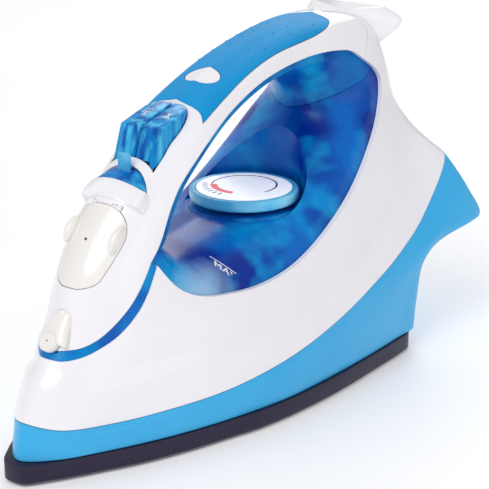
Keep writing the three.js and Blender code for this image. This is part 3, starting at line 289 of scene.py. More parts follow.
# The outer form, as rows from the hem up to the ridge of the handle, in shares of length, width
# and height, each from the middle of the nose along the left side to the middle of the back
form_row_shares = [
    [ # hem over the soleplate
        [0.486, 0, 0.06], [0.455, 0.105, 0.06], [0.382, 0.211, 0.06], [0.289, 0.316, 0.06],
        [0.185, 0.399, 0.06], [0.064, 0.461, 0.06], [-0.061, 0.478, 0.06], [-0.178, 0.474, 0.06],
        [-0.254, 0.464, 0.06], [-0.307, 0.455, 0.06], [-0.327, 0.408, 0.06], [-0.33, 0.219, 0.06],
        [-0.33, 0, 0.06],
    ],
    [ # heel
        [0.483, 0, 0.084], [0.453, 0.107, 0.081], [0.381, 0.211, 0.078], [0.288, 0.318, 0.079],
        [0.185, 0.402, 0.083], [0.064, 0.463, 0.09], [-0.061, 0.482, 0.102], [-0.178, 0.479, 0.12],
        [-0.261, 0.468, 0.132], [-0.315, 0.456, 0.156], [-0.339, 0.402, 0.18], [-0.344, 0.219, 0.186],
        [-0.344, 0, 0.186],
    ],
    [ # neck under the tail
        [0.479, 0, 0.105], [0.45, 0.109, 0.099], [0.379, 0.212, 0.095], [0.286, 0.318, 0.097],
        [0.184, 0.402, 0.104], [0.064, 0.463, 0.117], [-0.061, 0.481, 0.139], [-0.178, 0.479, 0.168],
        [-0.272, 0.467, 0.204], [-0.337, 0.452, 0.257], [-0.369, 0.395, 0.299], [-0.375, 0.219, 0.305],
        [-0.375, 0, 0.305],
    ],
    [ # underside of the tail
        [0.477, 0, 0.12], [0.448, 0.111, 0.111], [0.378, 0.213, 0.107], [0.285, 0.318, 0.11],
        [0.183, 0.4, 0.12], [0.064, 0.46, 0.138], [-0.061, 0.477, 0.168], [-0.178, 0.475, 0.204],
        [-0.282, 0.467, 0.251], [-0.379, 0.468, 0.314], [-0.479, 0.491, 0.331], [-0.427, 0.298, 0.353],
        [-0.41, 0, 0.359],
    ],
    [ # tip of the tail
        [0.474, 0, 0.132], [0.447, 0.112, 0.12], [0.376, 0.212, 0.116], [0.284, 0.318, 0.12],
        [0.182, 0.397, 0.131], [0.064, 0.455, 0.153], [-0.061, 0.472, 0.189], [-0.178, 0.47, 0.228],
        [-0.289, 0.46, 0.275], [-0.393, 0.474, 0.338], [-0.5, 0.5, 0.345], [-0.441, 0.316, 0.371],
        [-0.424, 0, 0.383],
    ],
    [ # top of the tail
        [0.473, 0, 0.141], [0.446, 0.113, 0.128], [0.376, 0.211, 0.122], [0.283, 0.316, 0.126],
        [0.182, 0.395, 0.136], [0.064, 0.452, 0.16], [-0.061, 0.468, 0.199], [-0.175, 0.463, 0.246],
        [-0.282, 0.45, 0.296], [-0.382, 0.444, 0.377], [-0.472, 0.469, 0.431], [-0.438, 0.289, 0.455],
        [-0.426, 0, 0.461],
    ],
    [ # seam between skirt and body
        [0.471, 0, 0.15], [0.445, 0.114, 0.135], [0.375, 0.211, 0.128], [0.282, 0.314, 0.132],
        [0.182, 0.393, 0.141], [0.064, 0.449, 0.168], [-0.061, 0.465, 0.21], [-0.171, 0.456, 0.26],
        [-0.265, 0.439, 0.311], [-0.358, 0.416, 0.392], [-0.436, 0.386, 0.551], [-0.426, 0.228, 0.527],
        [-0.422, 0, 0.518],
    ],
    [ # crease along the body
        [0.438, 0, 0.249], [0.413, 0.11, 0.24], [0.355, 0.202, 0.228], [0.265, 0.289, 0.234],
        [0.175, 0.36, 0.243], [0.064, 0.411, 0.263], [-0.054, 0.432, 0.305], [-0.157, 0.421, 0.365],
        [-0.247, 0.399, 0.431], [-0.334, 0.377, 0.503], [-0.41, 0.351, 0.593], [-0.405, 0.193, 0.605],
        [-0.403, 0, 0.608],
    ],
    [ # low flank
        [0.396, 0, 0.359], [0.379, 0.096, 0.359], [0.334, 0.184, 0.359], [0.265, 0.254, 0.359],
        [0.182, 0.316, 0.365], [0.085, 0.36, 0.38], [-0.019, 0.386, 0.413], [-0.123, 0.386, 0.479],
        [-0.22, 0.368, 0.551], [-0.31, 0.338, 0.605], [-0.388, 0.281, 0.653], [-0.391, 0.149, 0.665],
        [-0.391, 0, 0.668],
    ],
    [ # middle flank
        [0.353, 0, 0.509], [0.341, 0.088, 0.509], [0.306, 0.167, 0.509], [0.258, 0.215, 0.509],
        [0.189, 0.254, 0.521], [0.099, 0.289, 0.536], [0.009, 0.316, 0.563], [-0.081, 0.333, 0.599],
        [-0.178, 0.333, 0.653], [-0.275, 0.307, 0.707], [-0.362, 0.237, 0.731], [-0.382, 0.123, 0.74],
        [-0.382, 0, 0.743],
    ],
    [ # high flank
        [0.282, 0, 0.659], [0.272, 0.079, 0.659], [0.244, 0.145, 0.659], [0.209, 0.18, 0.662],
        [0.161, 0.206, 0.677], [0.092, 0.228, 0.701], [0.016, 0.25, 0.725], [-0.061, 0.263, 0.754],
        [-0.151, 0.272, 0.79], [-0.245, 0.262, 0.82], [-0.343, 0.22, 0.838], [-0.371, 0.11, 0.844],
        [-0.369, 0, 0.844],
    ],
    [ # side of the handle
        [0.213, 0, 0.749], [0.206, 0.07, 0.751], [0.189, 0.123, 0.754], [0.164, 0.158, 0.76],
        [0.126, 0.175, 0.784], [0.071, 0.18, 0.82], [0.009, 0.18, 0.862], [-0.061, 0.18, 0.892],
        [-0.137, 0.184, 0.916], [-0.225, 0.2, 0.931], [-0.322, 0.198, 0.924], [-0.355, 0.1, 0.92],
        [-0.355, 0, 0.922],
    ],
    [ # shoulder of the handle
        [0.211, 0, 0.752], [0.204, 0.053, 0.76], [0.187, 0.092, 0.775], [0.163, 0.118, 0.793],
        [0.126, 0.136, 0.829], [0.071, 0.136, 0.871], [0.009, 0.136, 0.91], [-0.061, 0.136, 0.943],
        [-0.137, 0.14, 0.967], [-0.22, 0.148, 0.979], [-0.306, 0.145, 0.974], [-0.345, 0.078, 0.962],
        [-0.353, 0, 0.958],
    ],
    [ # ridge of the handle
        [0.209, 0, 0.754], [0.202, 0, 0.763], [0.185, 0, 0.784], [0.161, 0, 0.811], [0.126, 0, 0.853],
        [0.071, 0, 0.898], [0.009, 0, 0.937], [-0.061, 0, 0.97], [-0.137, 0, 0.994], [-0.22, 0, 1],
        [-0.296, 0, 1], [-0.337, 0, 0.994], [-0.348, 0, 0.982],
    ],
]

# Side outlines, in shares of length and height
body_top_shares = [
    [0.419, 0.296], [0.412, 0.293], [0.394, 0.299], [0.369, 0.316], [0.339, 0.344], [0.305, 0.395],
    [0.285, 0.44],
]
cap_edge_shares = [
    [0.412, 0.316], [0.404, 0.318], [0.39, 0.323], [0.365, 0.343], [0.335, 0.383], [0.31, 0.427],
    [0.29, 0.472], [0.275, 0.51],
]
lower_ring_shares = [
    [0.265, 0.499], [0.25, 0.457], [0.236, 0.429], [0.213, 0.404], [0.184, 0.389], [0.15, 0.382],
    [0.09, 0.378], [0.022, 0.394], [-0.029, 0.422], [-0.085, 0.466], [-0.148, 0.528], [-0.202, 0.598],
    [-0.246, 0.667], [-0.281, 0.726], [-0.297, 0.762], [-0.305, 0.807], [-0.293, 0.84], [-0.264, 0.877],
]
upper_ring_shares = [
    [-0.264, 0.877], [-0.239, 0.905], [-0.202, 0.917], [-0.155, 0.919], [-0.113, 0.914], [-0.059, 0.901],
    [-0.006, 0.88], [0.046, 0.847], [0.096, 0.804], [0.145, 0.749], [0.196, 0.678], [0.224, 0.622],
    [0.254, 0.549], [0.275, 0.51],
]
tunnel_shares = [
    [0.205, 0.515], [0.199, 0.574], [0.182, 0.621], [0.14, 0.686], [0.096, 0.75], [0.046, 0.799],
    [-0.005, 0.832], [-0.05, 0.854], [-0.099, 0.862], [-0.14, 0.844], [-0.166, 0.802], [-0.175, 0.754],
    [-0.166, 0.707], [-0.137, 0.659], [-0.095, 0.608], [-0.05, 0.557], [-0.005, 0.527], [0.064, 0.506],
    [0.133, 0.497], [0.189, 0.497],
]
tunnel_middle_shares = [0.02, 0.68]
flare_shares = [0, 0.2, 0.35, 0.5, 0.62, 0.73, 0.83, 0.9, 0.95, 0.985, 1, 1.5]
rear_seam_shares = [[-0.264, 0.877], [-0.279, 0.91], [-0.296, 0.946], [-0.31, 1.1]]
rear_cover_shares = [
    [-0.31, 1.1], [-0.341, 0.898], [-0.356, 0.808], [-0.363, 0.731], [-0.37, 0.671], [-0.388, 0.623],
    [-0.413, 0.581], [-0.436, 0.551],
]
grip_shares = [
    [0.126, 0.816], [0.118, 0.842], [0.109, 0.91], [0.109, 1.1], [-0.246, 1.1], [-0.246, 1.002],
    [-0.236, 0.992], [-0.21, 0.98], [-0.182, 0.97], [-0.158, 0.963], [-0.129, 0.957], [-0.079, 0.946],
    [-0.027, 0.926], [0.026, 0.896], [0.068, 0.865], [0.102, 0.838],
]
sole_shares = [
    [0.5, 0], [0.497, 0.044], [0.465, 0.105], [0.4, 0.197], [0.327, 0.289], [0.247, 0.364],
    [0.192, 0.404], [0.133, 0.447], [0.047, 0.478], [-0.061, 0.491], [-0.185, 0.482], [-0.254, 0.474],
    [-0.289, 0.461], [-0.304, 0.421], [-0.311, 0.333], [-0.313, 0.175],
]
tank_floor_shares = [[0.43, 0.131], [-0.144, 0.131], [-0.247, 0.251], [-0.324, 0.359]]
tank_rear_shares = [[-0.344, 0.455], [-0.344, 0.599], [-0.337, 0.749], [-0.324, 0.866], [-0.175, 0.741]]
tank_front_shares = [[0.315, 0.47], [0.36, 0.395], [0.388, 0.341], [0.41, 0.329], [0.43, 0.335]]
fin_ring_shares = [  # height, front, rear, half width
    [0.89, -0.284, -0.345, 0.17], [0.92, -0.28, -0.357, 0.215], [0.945, -0.276, -0.372, 0.242],
    [0.966, -0.27, -0.376, 0.242], [1, -0.262, -0.36, 0.18],
]
fin_outline_shares = [  # along and across
    [0, 0.12], [0.3, 0.42], [0.62, 0.74], [0.9, 0.98], [0.98, 1], [1, 0.9], [0.985, 0.5], [0.97, 0.15],
]
door_outline_shares = [  # down the slope and across
    [1, 0.15], [0.985, 0.3], [0.87, 0.6], [0.74, 0.77], [0.5, 0.87], [0.25, 0.94], [-0.18, 1],
    [-0.38, 0.95], [-0.56, 0.8], [-0.68, 0.5],
]
vent_shares = [
    [0.27, 0], [0.2, 0], [0.12, 0], [0.215, 0.075], [0.15, 0.115], [0.085, 0.15], [0.02, 0.17],
    [-0.045, 0.18], [-0.11, 0.18], [0.05, 0.07], [-0.02, 0.08], [-0.09, 0.08],
]

# Places along the length and up the height, and slopes of the form there
dial_share = -0.0571
lens_share = 0.0502
press_shares = [0.1713, 0.7844]
press_slope_share = 0.6045
lever_shares = [0.2664, 0.6617]
lever_slope_share = 1.3348
door_shares = [0.3204, 0.5695]
door_slope_share = 1.807
nozzle_shares = [0.4118, 0.3174]
nozzle_slope_share = 2.2705
gland_shares = [-0.391, 0.6707]
screw_shares = [-0.379, 0.7784]
crease_fade_shares = [-0.3, -0.12]
flare_start_share = 0.46


# Points, outlines and frames
def side(shares):
    return np.array(shares, float) * (length, height)


def plan(shares):
    return np.array(shares, float) * (length, width)


def curved(points, steps, closed=False):
    """Points on a smooth curve through the given ones, with some steps from each to the next."""
    points = np.asarray(points, float)
    if closed:
        before, here, after, last = (np.roll(points, turn, axis=0) for turn in (1, 0, -1, -2))
    else:
        whole = np.concatenate([2 * points[:1] - points[1:2], points, 2 * points[-1:] - points[-2:-1]])
        before, here, after, last = whole[:-3], whole[1:-2], whole[2:-1], whole[3:]
    middle = root_distance(here, after, merge_distance)
    first = root_distance(before, here, 0)
    final = root_distance(after, last, 0)
    first = np.where(first < 0.01 * middle, middle, first)
    final = np.where(final < 0.01 * middle, middle, final)
    leave = (here - before) / first - (after - before) / (first + middle) + (after - here) / middle
    arrive = (after - here) / middle - (last - here) / (middle + final) + (last - after) / final
    leave, arrive = leave * middle, arrive * middle
    made = []
    for share in np.arange(steps) / steps:
        bend = (3 * (after - here) - 2 * leave - arrive) * share**2
        twist = (2 * (here - after) + leave + arrive) * share**3
        made.append(here + leave * share + bend + twist)
    curve = np.stack(made, axis=1).reshape(-1, *points.shape[1:])
    return curve if closed else np.concatenate([curve, points[-1:]])


def root_distance(start, end, least):
    """The square root of the distance, which keeps a curve free of loops where points lie close."""
    return np.maximum(np.linalg.norm(end - start, axis=-1, keepdims=True), least) ** 0.5


def mirrored(half):
    """A closed outline from its half with positive second coordinate."""
    inner = half[::-1][half[::-1][:, 1] != 0]
    return np.concatenate([half, inner * (1, -1)])


def turn_of(outline):
    nexts = np.roll(outline, -1, axis=0)
    return math.copysign(1, np.sum(outline[:, 0] * nexts[:, 1] - nexts[:, 0] * outline[:, 1]))


def grown(outline, distance):
    """An outline moved outwards by a distance, or inwards where it is negative."""
    towards = outline - np.roll(outline, 1, axis=0)
    away = np.roll(outline, -1, axis=0) - outline
    along = towards / np.linalg.norm(towards, axis=1)[:, None] + away / np.linalg.norm(away, axis=1)[:, None]
    along /= np.linalg.norm(along, axis=1)[:, None]
    across = np.stack([along[:, 1], -along[:, 0]], axis=1)
    return outline + turn_of(outline) * distance * across


def rounded(outline, radius, steps=4):
    """An outline with its corners rounded off."""
    made = []
    for point, before, after in zip(outline, np.roll(outline, 1, axis=0), np.roll(outline, -1, axis=0)):
        reach = [min(radius, 0.45 * np.linalg.norm(end - point)) for end in (before, after)]
        start = point + (before - point) / np.linalg.norm(before - point) * reach[0]
        end = point + (after - point) / np.linalg.norm(after - point) * reach[1]
        for share in np.arange(steps + 1) / steps:
            made.append(start * (1 - share) ** 2 + 2 * point * share * (1 - share) + end * share**2)
    return np.array(made)


def slope_of(share):
    return math.atan2(share * height, length)


def moved(x=0, y=0, z=0):
    return Matrix.Translation((x, y, z))


def about(axis, angle):
    return Matrix.Rotation(angle, 4, axis)


def scaled(*sizes):
    return Matrix.Diagonal((*sizes, 1))


def tilted(shares, tilt):
    """A frame at a place in the side view, turned about Y."""
    x, z = side(shares)
    return moved(x, 0, z) @ about("Y", tilt)


dial_x = dial_share * length
lens_x = lens_share * length
button_middle = (button_split + button_width) / 2
press_frame = tilted(press_shares, -slope_of(press_slope_share))
lever_tilt = slope_of(lever_slope_share)
lever_frame = tilted(lever_shares, lever_tilt)
door_frame = tilted(door_shares, slope_of(door_slope_share))
hinge_frame = door_frame @ moved(-door_hinge_back, 0, door_hinge_rise)
nozzle_frame = tilted(nozzle_shares, math.pi / 2 + slope_of(nozzle_slope_share))
gland_frame = moved(shell_wall) @ tilted(gland_shares, -math.pi / 2)
dial_frame = moved(dial_x)
hinge_radius = door_knuckle_radius + hinge_gap


# Modelling steps
def alone(piece):
    bpy.ops.object.select_all(action="DESELECT")
    piece.select_set(True)
    bpy.context.view_layer.objects.active = piece
    return piece


def added(primitive, **options):
    bpy.ops.object.select_all(action="DESELECT")
    primitive(**options)
    return bpy.context.object


def edited(piece, *steps):
    """Runs edit-mode steps on one piece, each on what the last one left selected."""
    alone(piece)
    bpy.ops.object.mode_set(mode="EDIT")
    bpy.ops.mesh.select_all(action="SELECT")
    for step in steps:
        step()
    bpy.ops.object.mode_set(mode="OBJECT")
    return piece


def merge():
    bpy.ops.mesh.select_all(action="SELECT")
    bpy.ops.mesh.remove_doubles(threshold=merge_distance)


def fill_ends():
    bpy.ops.mesh.select_all(action="DESELECT")
    bpy.ops.mesh.select_non_manifold()
    bpy.ops.mesh.edge_face_add()


def face_out():
    bpy.ops.mesh.select_all(action="SELECT")
    bpy.ops.mesh.normals_make_consistent(inside=False)
    bpy.context.object.update_from_editmode()
    if space_in(bpy.context.object) < 0:
        bpy.ops.mesh.flip_normals()


def space_in(piece):
    """The volume inside a closed mesh, negative where its faces point inwards."""
    mesh = piece.data
    mesh.calc_loop_triangles()
    places = np.empty(len(mesh.vertices) * 3)
    mesh.vertices.foreach_get("co", places)
    corners = np.empty(len(mesh.loop_triangles) * 3, int)
    mesh.loop_triangles.foreach_get("vertices", corners)
    first, second, third = places.reshape(-1, 3)[corners.reshape(-1, 3)].swapaxes(0, 1)
    return np.sum(np.cross(first, second) * third) / 6


def named(piece, name):
    piece.name = name
    piece.data.name = name
    return piece


def lay(piece, points):
    """Puts a new primitive's points at their places."""
    flat = np.asarray(points, float).reshape(-1)
    piece.data.vertices.foreach_set("co", flat)
    piece.data.update()
    return piece


def laid_grid(name, points):
    rows, columns = points.shape[:2]
    grid = added(bpy.ops.mesh.primitive_grid_add, x_subdivisions=columns - 1, y_subdivisions=rows - 1)
    return lay(named(grid, name), points)


def laid_loop(name, points, fill="NOTHING"):
    circle = added(bpy.ops.mesh.primitive_circle_add, vertices=len(points), fill_type=fill)
    return lay(named(circle, name), points)


def ring_solid(name, rings):
    """A closed solid through rings of points, flat at both ends unless a ring closes on itself."""
    rings = np.asarray(rings)
    wrapped = np.concatenate([rings, rings[:, :1]], axis=1)
    return edited(laid_grid(name, wrapped), merge, fill_ends, face_out)


def prism(name, loop, shift):
    """A flat outline drawn out by a shift."""
    piece = laid_loop(name, loop, "NGON")
    extrude = lambda: bpy.ops.mesh.extrude_region_move(TRANSFORM_OT_translate={"value": shift})
    return edited(piece, extrude, face_out)


def side_prism(outline, half=width):
    loop = [(x, -half, z) for x, z in outline]
    return prism("side", loop, (0, 2 * half, 0))


def plan_prism(outline, low, high):
    loop = [(x, y, low) for x, y in outline]
    return prism("plan", loop, (0, 0, high - low))


def turned(name, profile, steps=round_steps, frame=Matrix.Identity(4), angle=2 * math.pi):
    """A solid spun round +Z of a frame from a profile of radius and height."""
    piece = laid_loop(name, [(radius, 0, rise) for radius, rise in profile])
    if abs(profile[0][0]) < merge_distance and abs(profile[-1][0]) < merge_distance:
        drop_axis_edge(piece, len(profile))
    spin = lambda: bpy.ops.mesh.spin(steps=steps, angle=angle, center=(0, 0, 0), axis=(0, 0, 1))
    edited(piece, spin, merge, face_out)
    return placed(piece, frame)


def drop_axis_edge(piece, count):
    """Takes out the edge that joins a profile's two ends along the axis."""
    alone(piece)
    for edge in piece.data.edges:
        edge.select = set(edge.vertices) == {0, count - 1}
    for vertex in piece.data.vertices:
        vertex.select = vertex.index in (0, count - 1)
    bpy.ops.object.mode_set(mode="EDIT")
    bpy.ops.mesh.select_mode(type="EDGE")
    bpy.ops.mesh.delete(type="EDGE")
    bpy.ops.mesh.select_mode(type="VERT")
    bpy.ops.object.mode_set(mode="OBJECT")


def rod(name, radius, low, high, frame=Matrix.Identity(4), edge=0, steps=round_steps // 2):
    profile = [(0, low), (radius, low), (radius, high), (0, high)]
    if edge:
        profile = [(0, low), (radius - edge, low), (radius, low + edge), (radius, high - edge),
                   (radius - edge, high), (0, high)]
    return turned(name, profile, steps, frame)


def placed(piece, frame):
    piece.data.transform(frame)
    piece.data.update()
    return piece


def copied(piece, name="copy"):
    twin = piece.copy()
    twin.data = piece.data.copy()
    bpy.context.scene.collection.objects.link(twin)
    return named(twin, name)


def dropped(*pieces):
    for piece in pieces:
        bpy.data.objects.remove(piece)


def modified(piece, kind, **settings):
    modifier = piece.modifiers.new("step", kind)
    for label, setting in settings.items():
        setattr(modifier, label, setting)
    alone(piece)
    bpy.ops.object.modifier_apply(modifier=modifier.name)
    return piece


def combine(piece, other, operation, keep):
    modified(piece, "BOOLEAN", operation=operation, object=other, solver="MANIFOLD")
    if not keep:
        dropped(other)
    return piece


def within(piece, other, keep=False):
    return combine(piece, other, "INTERSECT", keep)


def without(piece, *others, keep=False):
    for other in others:
        combine(piece, other, "DIFFERENCE", keep)
    return piece


def joined(piece, *others):
    for other in others:
        combine(piece, other, "UNION", False)
    return piece


def softened(piece, radius, segments=3, limit=30):
    """Rounds a piece's sharp edges."""
    sharp = math.radians(limit)
    return modified(piece, "BEVEL", width=radius, segments=segments, limit_method="ANGLE", angle_limit=sharp)


def smoothed(piece, limit=35):
    alone(piece)
    bpy.ops.object.shade_smooth_by_angle(angle=math.radians(limit))
    return piece


# The outer form and its offsets
def form_rings():
    rows = np.array(form_row_shares) * (length, width, height)
    far = rows[:, -2:0:-1] * (1, -1, 1)
    around = np.concatenate([rows, far], axis=1).swapaxes(0, 1)
    rings = curved(around, around_steps, closed=True).swapaxes(0, 1)
    return curved(rings, across_steps)


def outward(rings):
    """Directions that point out of the form at its points."""
    along = np.roll(rings, -1, axis=1) - np.roll(rings, 1, axis=1)
    up = np.concatenate([rings[1:], rings[-1:]]) - np.concatenate([rings[:1], rings[:-1]])
    normals = np.cross(along, up)
    normals[0, :, 2] = 0
    normals[:, 0, 1] = 0
    normals[:, rings.shape[1] // 2, 1] = 0
    normals[-1, :, 1] = 0
    sizes = np.linalg.norm(normals, axis=2)
    for row in range(1, len(rings)):
        flat = sizes[row] < 1e-12
        normals[row][flat] = normals[row - 1][flat]
        sizes[row][flat] = sizes[row - 1][flat]
    return normals / sizes[:, :, None]


def kept_in_width(rings):
    """The rings with the heel's flare drawn in to the iron's width."""
    reach = np.abs(rings[:, :, 1])
    start = flare_start_share * width
    drawn = start + (reach - start) * (width / 2 - start) / (reach.max() - start)
    made = rings.copy()
    made[:, :, 1] = np.sign(rings[:, :, 1]) * np.where(reach > start, drawn, reach)
    return made


plain_rings = kept_in_width(form_rings())
plain_normals = outward(plain_rings)


def creased_rings():
    """The form with the body swelling below its crease, and a ledge where the swelling ends."""
    first = seam_row * across_steps
    last = crease_row * across_steps
    rings = plain_rings.copy()
    rear, front = (share * length for share in crease_fade_shares)
    fade = np.clip((rings[last, :, 0] - rear) / (front - rear), 0, 1)
    for row in range(first + 1, last + 1):
        rise = ((row - first) / (last - first)) ** 0.7
        rings[row] += plain_normals[row] * (crease_depth * rise * fade)[:, None]
    return rings


def form_solid(rings, name="form"):
    below = rings[0] - (0, 0, overrun)
    return ring_solid(name, np.concatenate([[below], rings]))


def form_at(depth):
    return form_solid(plain_rings - plain_normals * depth)


# Regions in side view
far_front = length / 2 + overrun
far_rear = -far_front
far_top = height + overrun
hem_height = sole_thickness + clearance


def side_curve(shares):
    return curved(side(shares), outline_steps)


lower_ring = side_curve(lower_ring_shares)
upper_ring = side_curve(upper_ring_shares)
rear_seam = side(rear_seam_shares)
body_top = side_curve(body_top_shares)
cap_edge = side_curve(cap_edge_shares)
rear_edge = np.concatenate([side(rear_cover_shares[:1]), side_curve(rear_cover_shares[1:])])
tunnel_outline = curved(side(tunnel_shares), 5, closed=True)
tunnel_middle = side(tunnel_middle_shares)
grip_outline = np.concatenate([
    side_curve(grip_shares[:3]),
    side(grip_shares[3:5]),
    side_curve(grip_shares[5:]),
])
aperture_outline = np.concatenate([lower_ring, upper_ring[1:]])


def below_seam(rise, floor):
    ring = plain_rings[seam_row * across_steps]
    half = ring[: len(ring) // 2 + 1]
    line = half[: np.argmin(half[:, 0]) + 1][:, [0, 2]] + (0, rise)
    front = [(far_front, floor), (far_front, line[0][1])]
    rear = [(far_rear, line[-1][1]), (far_rear, floor)]
    return side_prism([*front, *line, *rear])


def above_body():
    back = rear_seam[1:] + (-clearance, 0)
    return side_prism([(far_front, body_top[0][1]), *body_top, *lower_ring, *back, (far_front, far_top)])


def handle_side():
    inner = [*upper_ring[::-1][1:], *rear_seam[1:]]
    return side_prism([(far_front, cap_edge[0][1]), *cap_edge, *inner, (far_front, far_top)])


def rear_side(shift):
    return side_prism([*(rear_edge + (shift, 0)), (far_rear, rear_edge[-1][1]), (far_rear, far_top)])


def reach_to(outline, towards):
    """How far an outline is from the tunnel's middle in some direction."""
    edges = np.roll(outline, -1, axis=0) - outline
    offsets = outline - tunnel_middle
    turns = towards[0] * edges[:, 1] - towards[1] * edges[:, 0]
    shares = (offsets[:, 0] * towards[1] - offsets[:, 1] * towards[0]) / turns
    reaches = (offsets[:, 0] * edges[:, 1] - offsets[:, 1] * edges[:, 0]) / turns
    return reaches[(shares >= 0) & (shares <= 1)].max()


def tunnel_spokes():
    """Direction, waist, reach and half width of the flared finger tunnel all round its middle."""
    opening = grown(aperture_outline, -tunnel_lip)
    spokes = []
    for point in tunnel_outline:
        waist = np.linalg.norm(point - tunnel_middle)
        towards = (point - tunnel_middle) / waist
        reach = reach_to(opening, towards)
        x, z = tunnel_middle + towards * reach
        skin = outer.ray_cast((x, width, z), (0, -1, 0))[1].y
        spokes.append((*towards, waist, reach, skin))
    return np.array(spokes).T


def tunnel_solid(growth):
    """The finger tunnel, which flares out on both sides until it nearly fills the aperture."""
    along, up, waist, reach, skin = spokes
    rings = []
    for share in flare_shares:
        opened = 1 - (1 - min(share, 1) ** flare_power) ** (1 / flare_power)
        radius = waist + (reach - waist) * opened + growth
        places = (tunnel_middle[0] + along * radius, share * skin, tunnel_middle[1] + up * radius)
        rings.append(np.stack(places, axis=1))
    far = [ring * (1, -1, 1) for ring in rings[:0:-1]]
    return ring_solid("tunnel", [*far, *rings])


def fin_solid(growth):
    rings = []
    for high, front, rear, half_width in fin_ring_shares:
        along, across = np.array(fin_outline_shares).T
        half = np.stack([(front + (rear - front) * along) * length, across * half_width * width], axis=1)
        outline = grown(curved(mirrored(half), 3, closed=True), growth)
        rings.append([(x, y, high * height) for x, y in outline])
    rings = np.array(rings)
    rings[0, :, 2] -= growth
    rings[-1, :, 2] += growth
    return ring_solid("fin", curved(rings, 5))


def door_prism(growth):
    shares = np.array(door_outline_shares) * (door_length, door_half_width)
    outline = grown(curved(mirrored(shares), 4, closed=True), growth)
    return placed(plan_prism(outline, -overrun / 4, overrun / 4), door_frame)


def ears(growth):
    made = []
    sizes = scaled(ear_length + growth, ear_width + growth, ear_height + growth)
    for hand in (1, -1):
        ear = added(bpy.ops.mesh.primitive_uv_sphere_add, segments=32, ring_count=16, radius=1)
        made.append(placed(ear, door_frame @ moved(ear_forward, hand * ear_side, ear_depth) @ sizes))
    return joined(*made)


def along_y(name, radius, half_length, frame=Matrix.Identity(4)):
    return rod(name, radius, -half_length, half_length, frame @ about("X", math.pi / 2))


def nozzle_room(gap):
    low = -nozzle_length - gap
    profile = [(0, low), (nozzle_rear_radius + gap, low), (nozzle_tip_radius + gap, gap), (0, gap)]
    return turned("room", profile, round_steps // 2, nozzle_frame)


# Finishes
class Value:
    """A shader value, so that sums and products of values are written as such."""

    def __init__(self, finish, socket):
        self.finish = finish
        self.socket = socket

    def maths(self, operation, *values):
        return self.finish.node("Math", {"operation": operation}, dict(enumerate(values)))

    def __add__(self, other):
        return self.maths("ADD", self, other)

    def __sub__(self, other):
        return self.maths("SUBTRACT", self, other)

    def __rsub__(self, other):
        return self.maths("SUBTRACT", other, self)

    def __mul__(self, other):
        return self.maths("MULTIPLY", self, other)

    def __truediv__(self, other):
        return self.maths("DIVIDE", self, other)

    def __pow__(self, other):
        return self.maths("POWER", self, other)

    __radd__ = __add__
    __rmul__ = __mul__

    def held(self):
        """The value kept between 0 and 1."""
        return self.finish.node("Clamp", {}, {0: self})

    def rises(self, start, end):
        return ((self - start) * (1 / (end - start))).held()

    def band(self, low, high, soft):
        return self.rises(low - soft, low) * (1 - self.rises(high, high + soft))


class Finish:
    """A material, its shader and the nodes that feed it."""

    def __init__(self, name, **constants):
        self.material = bpy.data.materials.new(name)
        self.material.use_nodes = True
        self.tree = self.material.node_tree
        self.shader = self.tree.nodes["Principled BSDF"]
        for label, value in constants.items():
            self.shader.inputs[label.replace("_", " ").title().replace("Ior", "IOR")].default_value = value

    def node(self, kind, settings=None, values=None, output=0):
        node = self.tree.nodes.new("ShaderNode" + kind)
        for label, setting in (settings or {}).items():
            setattr(node, label, setting)
        for key, value in (values or {}).items():
            if isinstance(value, Value):
                self.tree.links.new(value.socket, node.inputs[key])
            else:
                node.inputs[key].default_value = value
        return Value(self, node.outputs[output])

    def feed(self, label, value):
        self.tree.links.new(value.socket, self.shader.inputs[label])

    def place(self):
        return self.node("TexCoord", output="Object")

    def noise(self, size, detail=2.0, stretch=(1, 1, 1)):
        """Noise whose blotches have about a given size."""
        mapped = self.node("Mapping", {}, {"Vector": self.place(), "Scale": stretch})
        return self.node("TexNoise", {}, {"Vector": mapped, "Scale": 1 / size, "Detail": detail})

    def mixed(self, share, first, second):
        """The colour that lies a share of the way from one to another."""
        return self.node("Mix", {"data_type": "RGBA"}, {0: share, 6: first, 7: second}, 2)

    def parts(self):
        """The three coordinates of a point of the piece."""
        split = self.node("SeparateXYZ", {}, {0: self.place()})
        return [Value(self, split.socket.node.outputs[i]) for i in range(3)]

    def near(self, middle, reach):
        """Rises from 0 at a reach from a place to 1 at the place itself."""
        apart = self.node("VectorMath", {"operation": "DISTANCE"}, {0: self.place(), 1: middle}, "Value")
        wander = self.noise(gloss_size, 3) * (0.5 * reach)
        return (1 - (apart + wander) / (1.25 * reach)).held()

    def relief(self, height, depth, edge=0):
        """Bumps of some depth, over edges rounded off by some radius."""
        values = {"Height": height, "Distance": depth, "Strength": 1.0}
        if edge:
            values["Normal"] = self.node("Bevel", {"samples": 4}, {"Radius": edge})
        self.feed("Normal", self.node("Bump", {}, values))

    def see_through(self, tint, share):
        """Lets a share of what is behind show, tinted."""
        clear = self.node("BsdfTransparent", {}, {"Color": tint})
        mix = self.node("MixShader", {}, {0: share, 1: clear, 2: Value(self, self.shader.outputs[0])})
        out = self.tree.nodes["Material Output"]
        self.tree.links.new(mix.socket, out.inputs["Surface"])


def rgb(red, green, blue, alpha=1.0):
    """A colour from screen values out of 255."""
    def linear(part):
        part /= 255
        return part / 12.92 if part <= 0.04045 else ((part + 0.055) / 1.055) ** 2.4
    return (linear(red), linear(green), linear(blue), alpha)


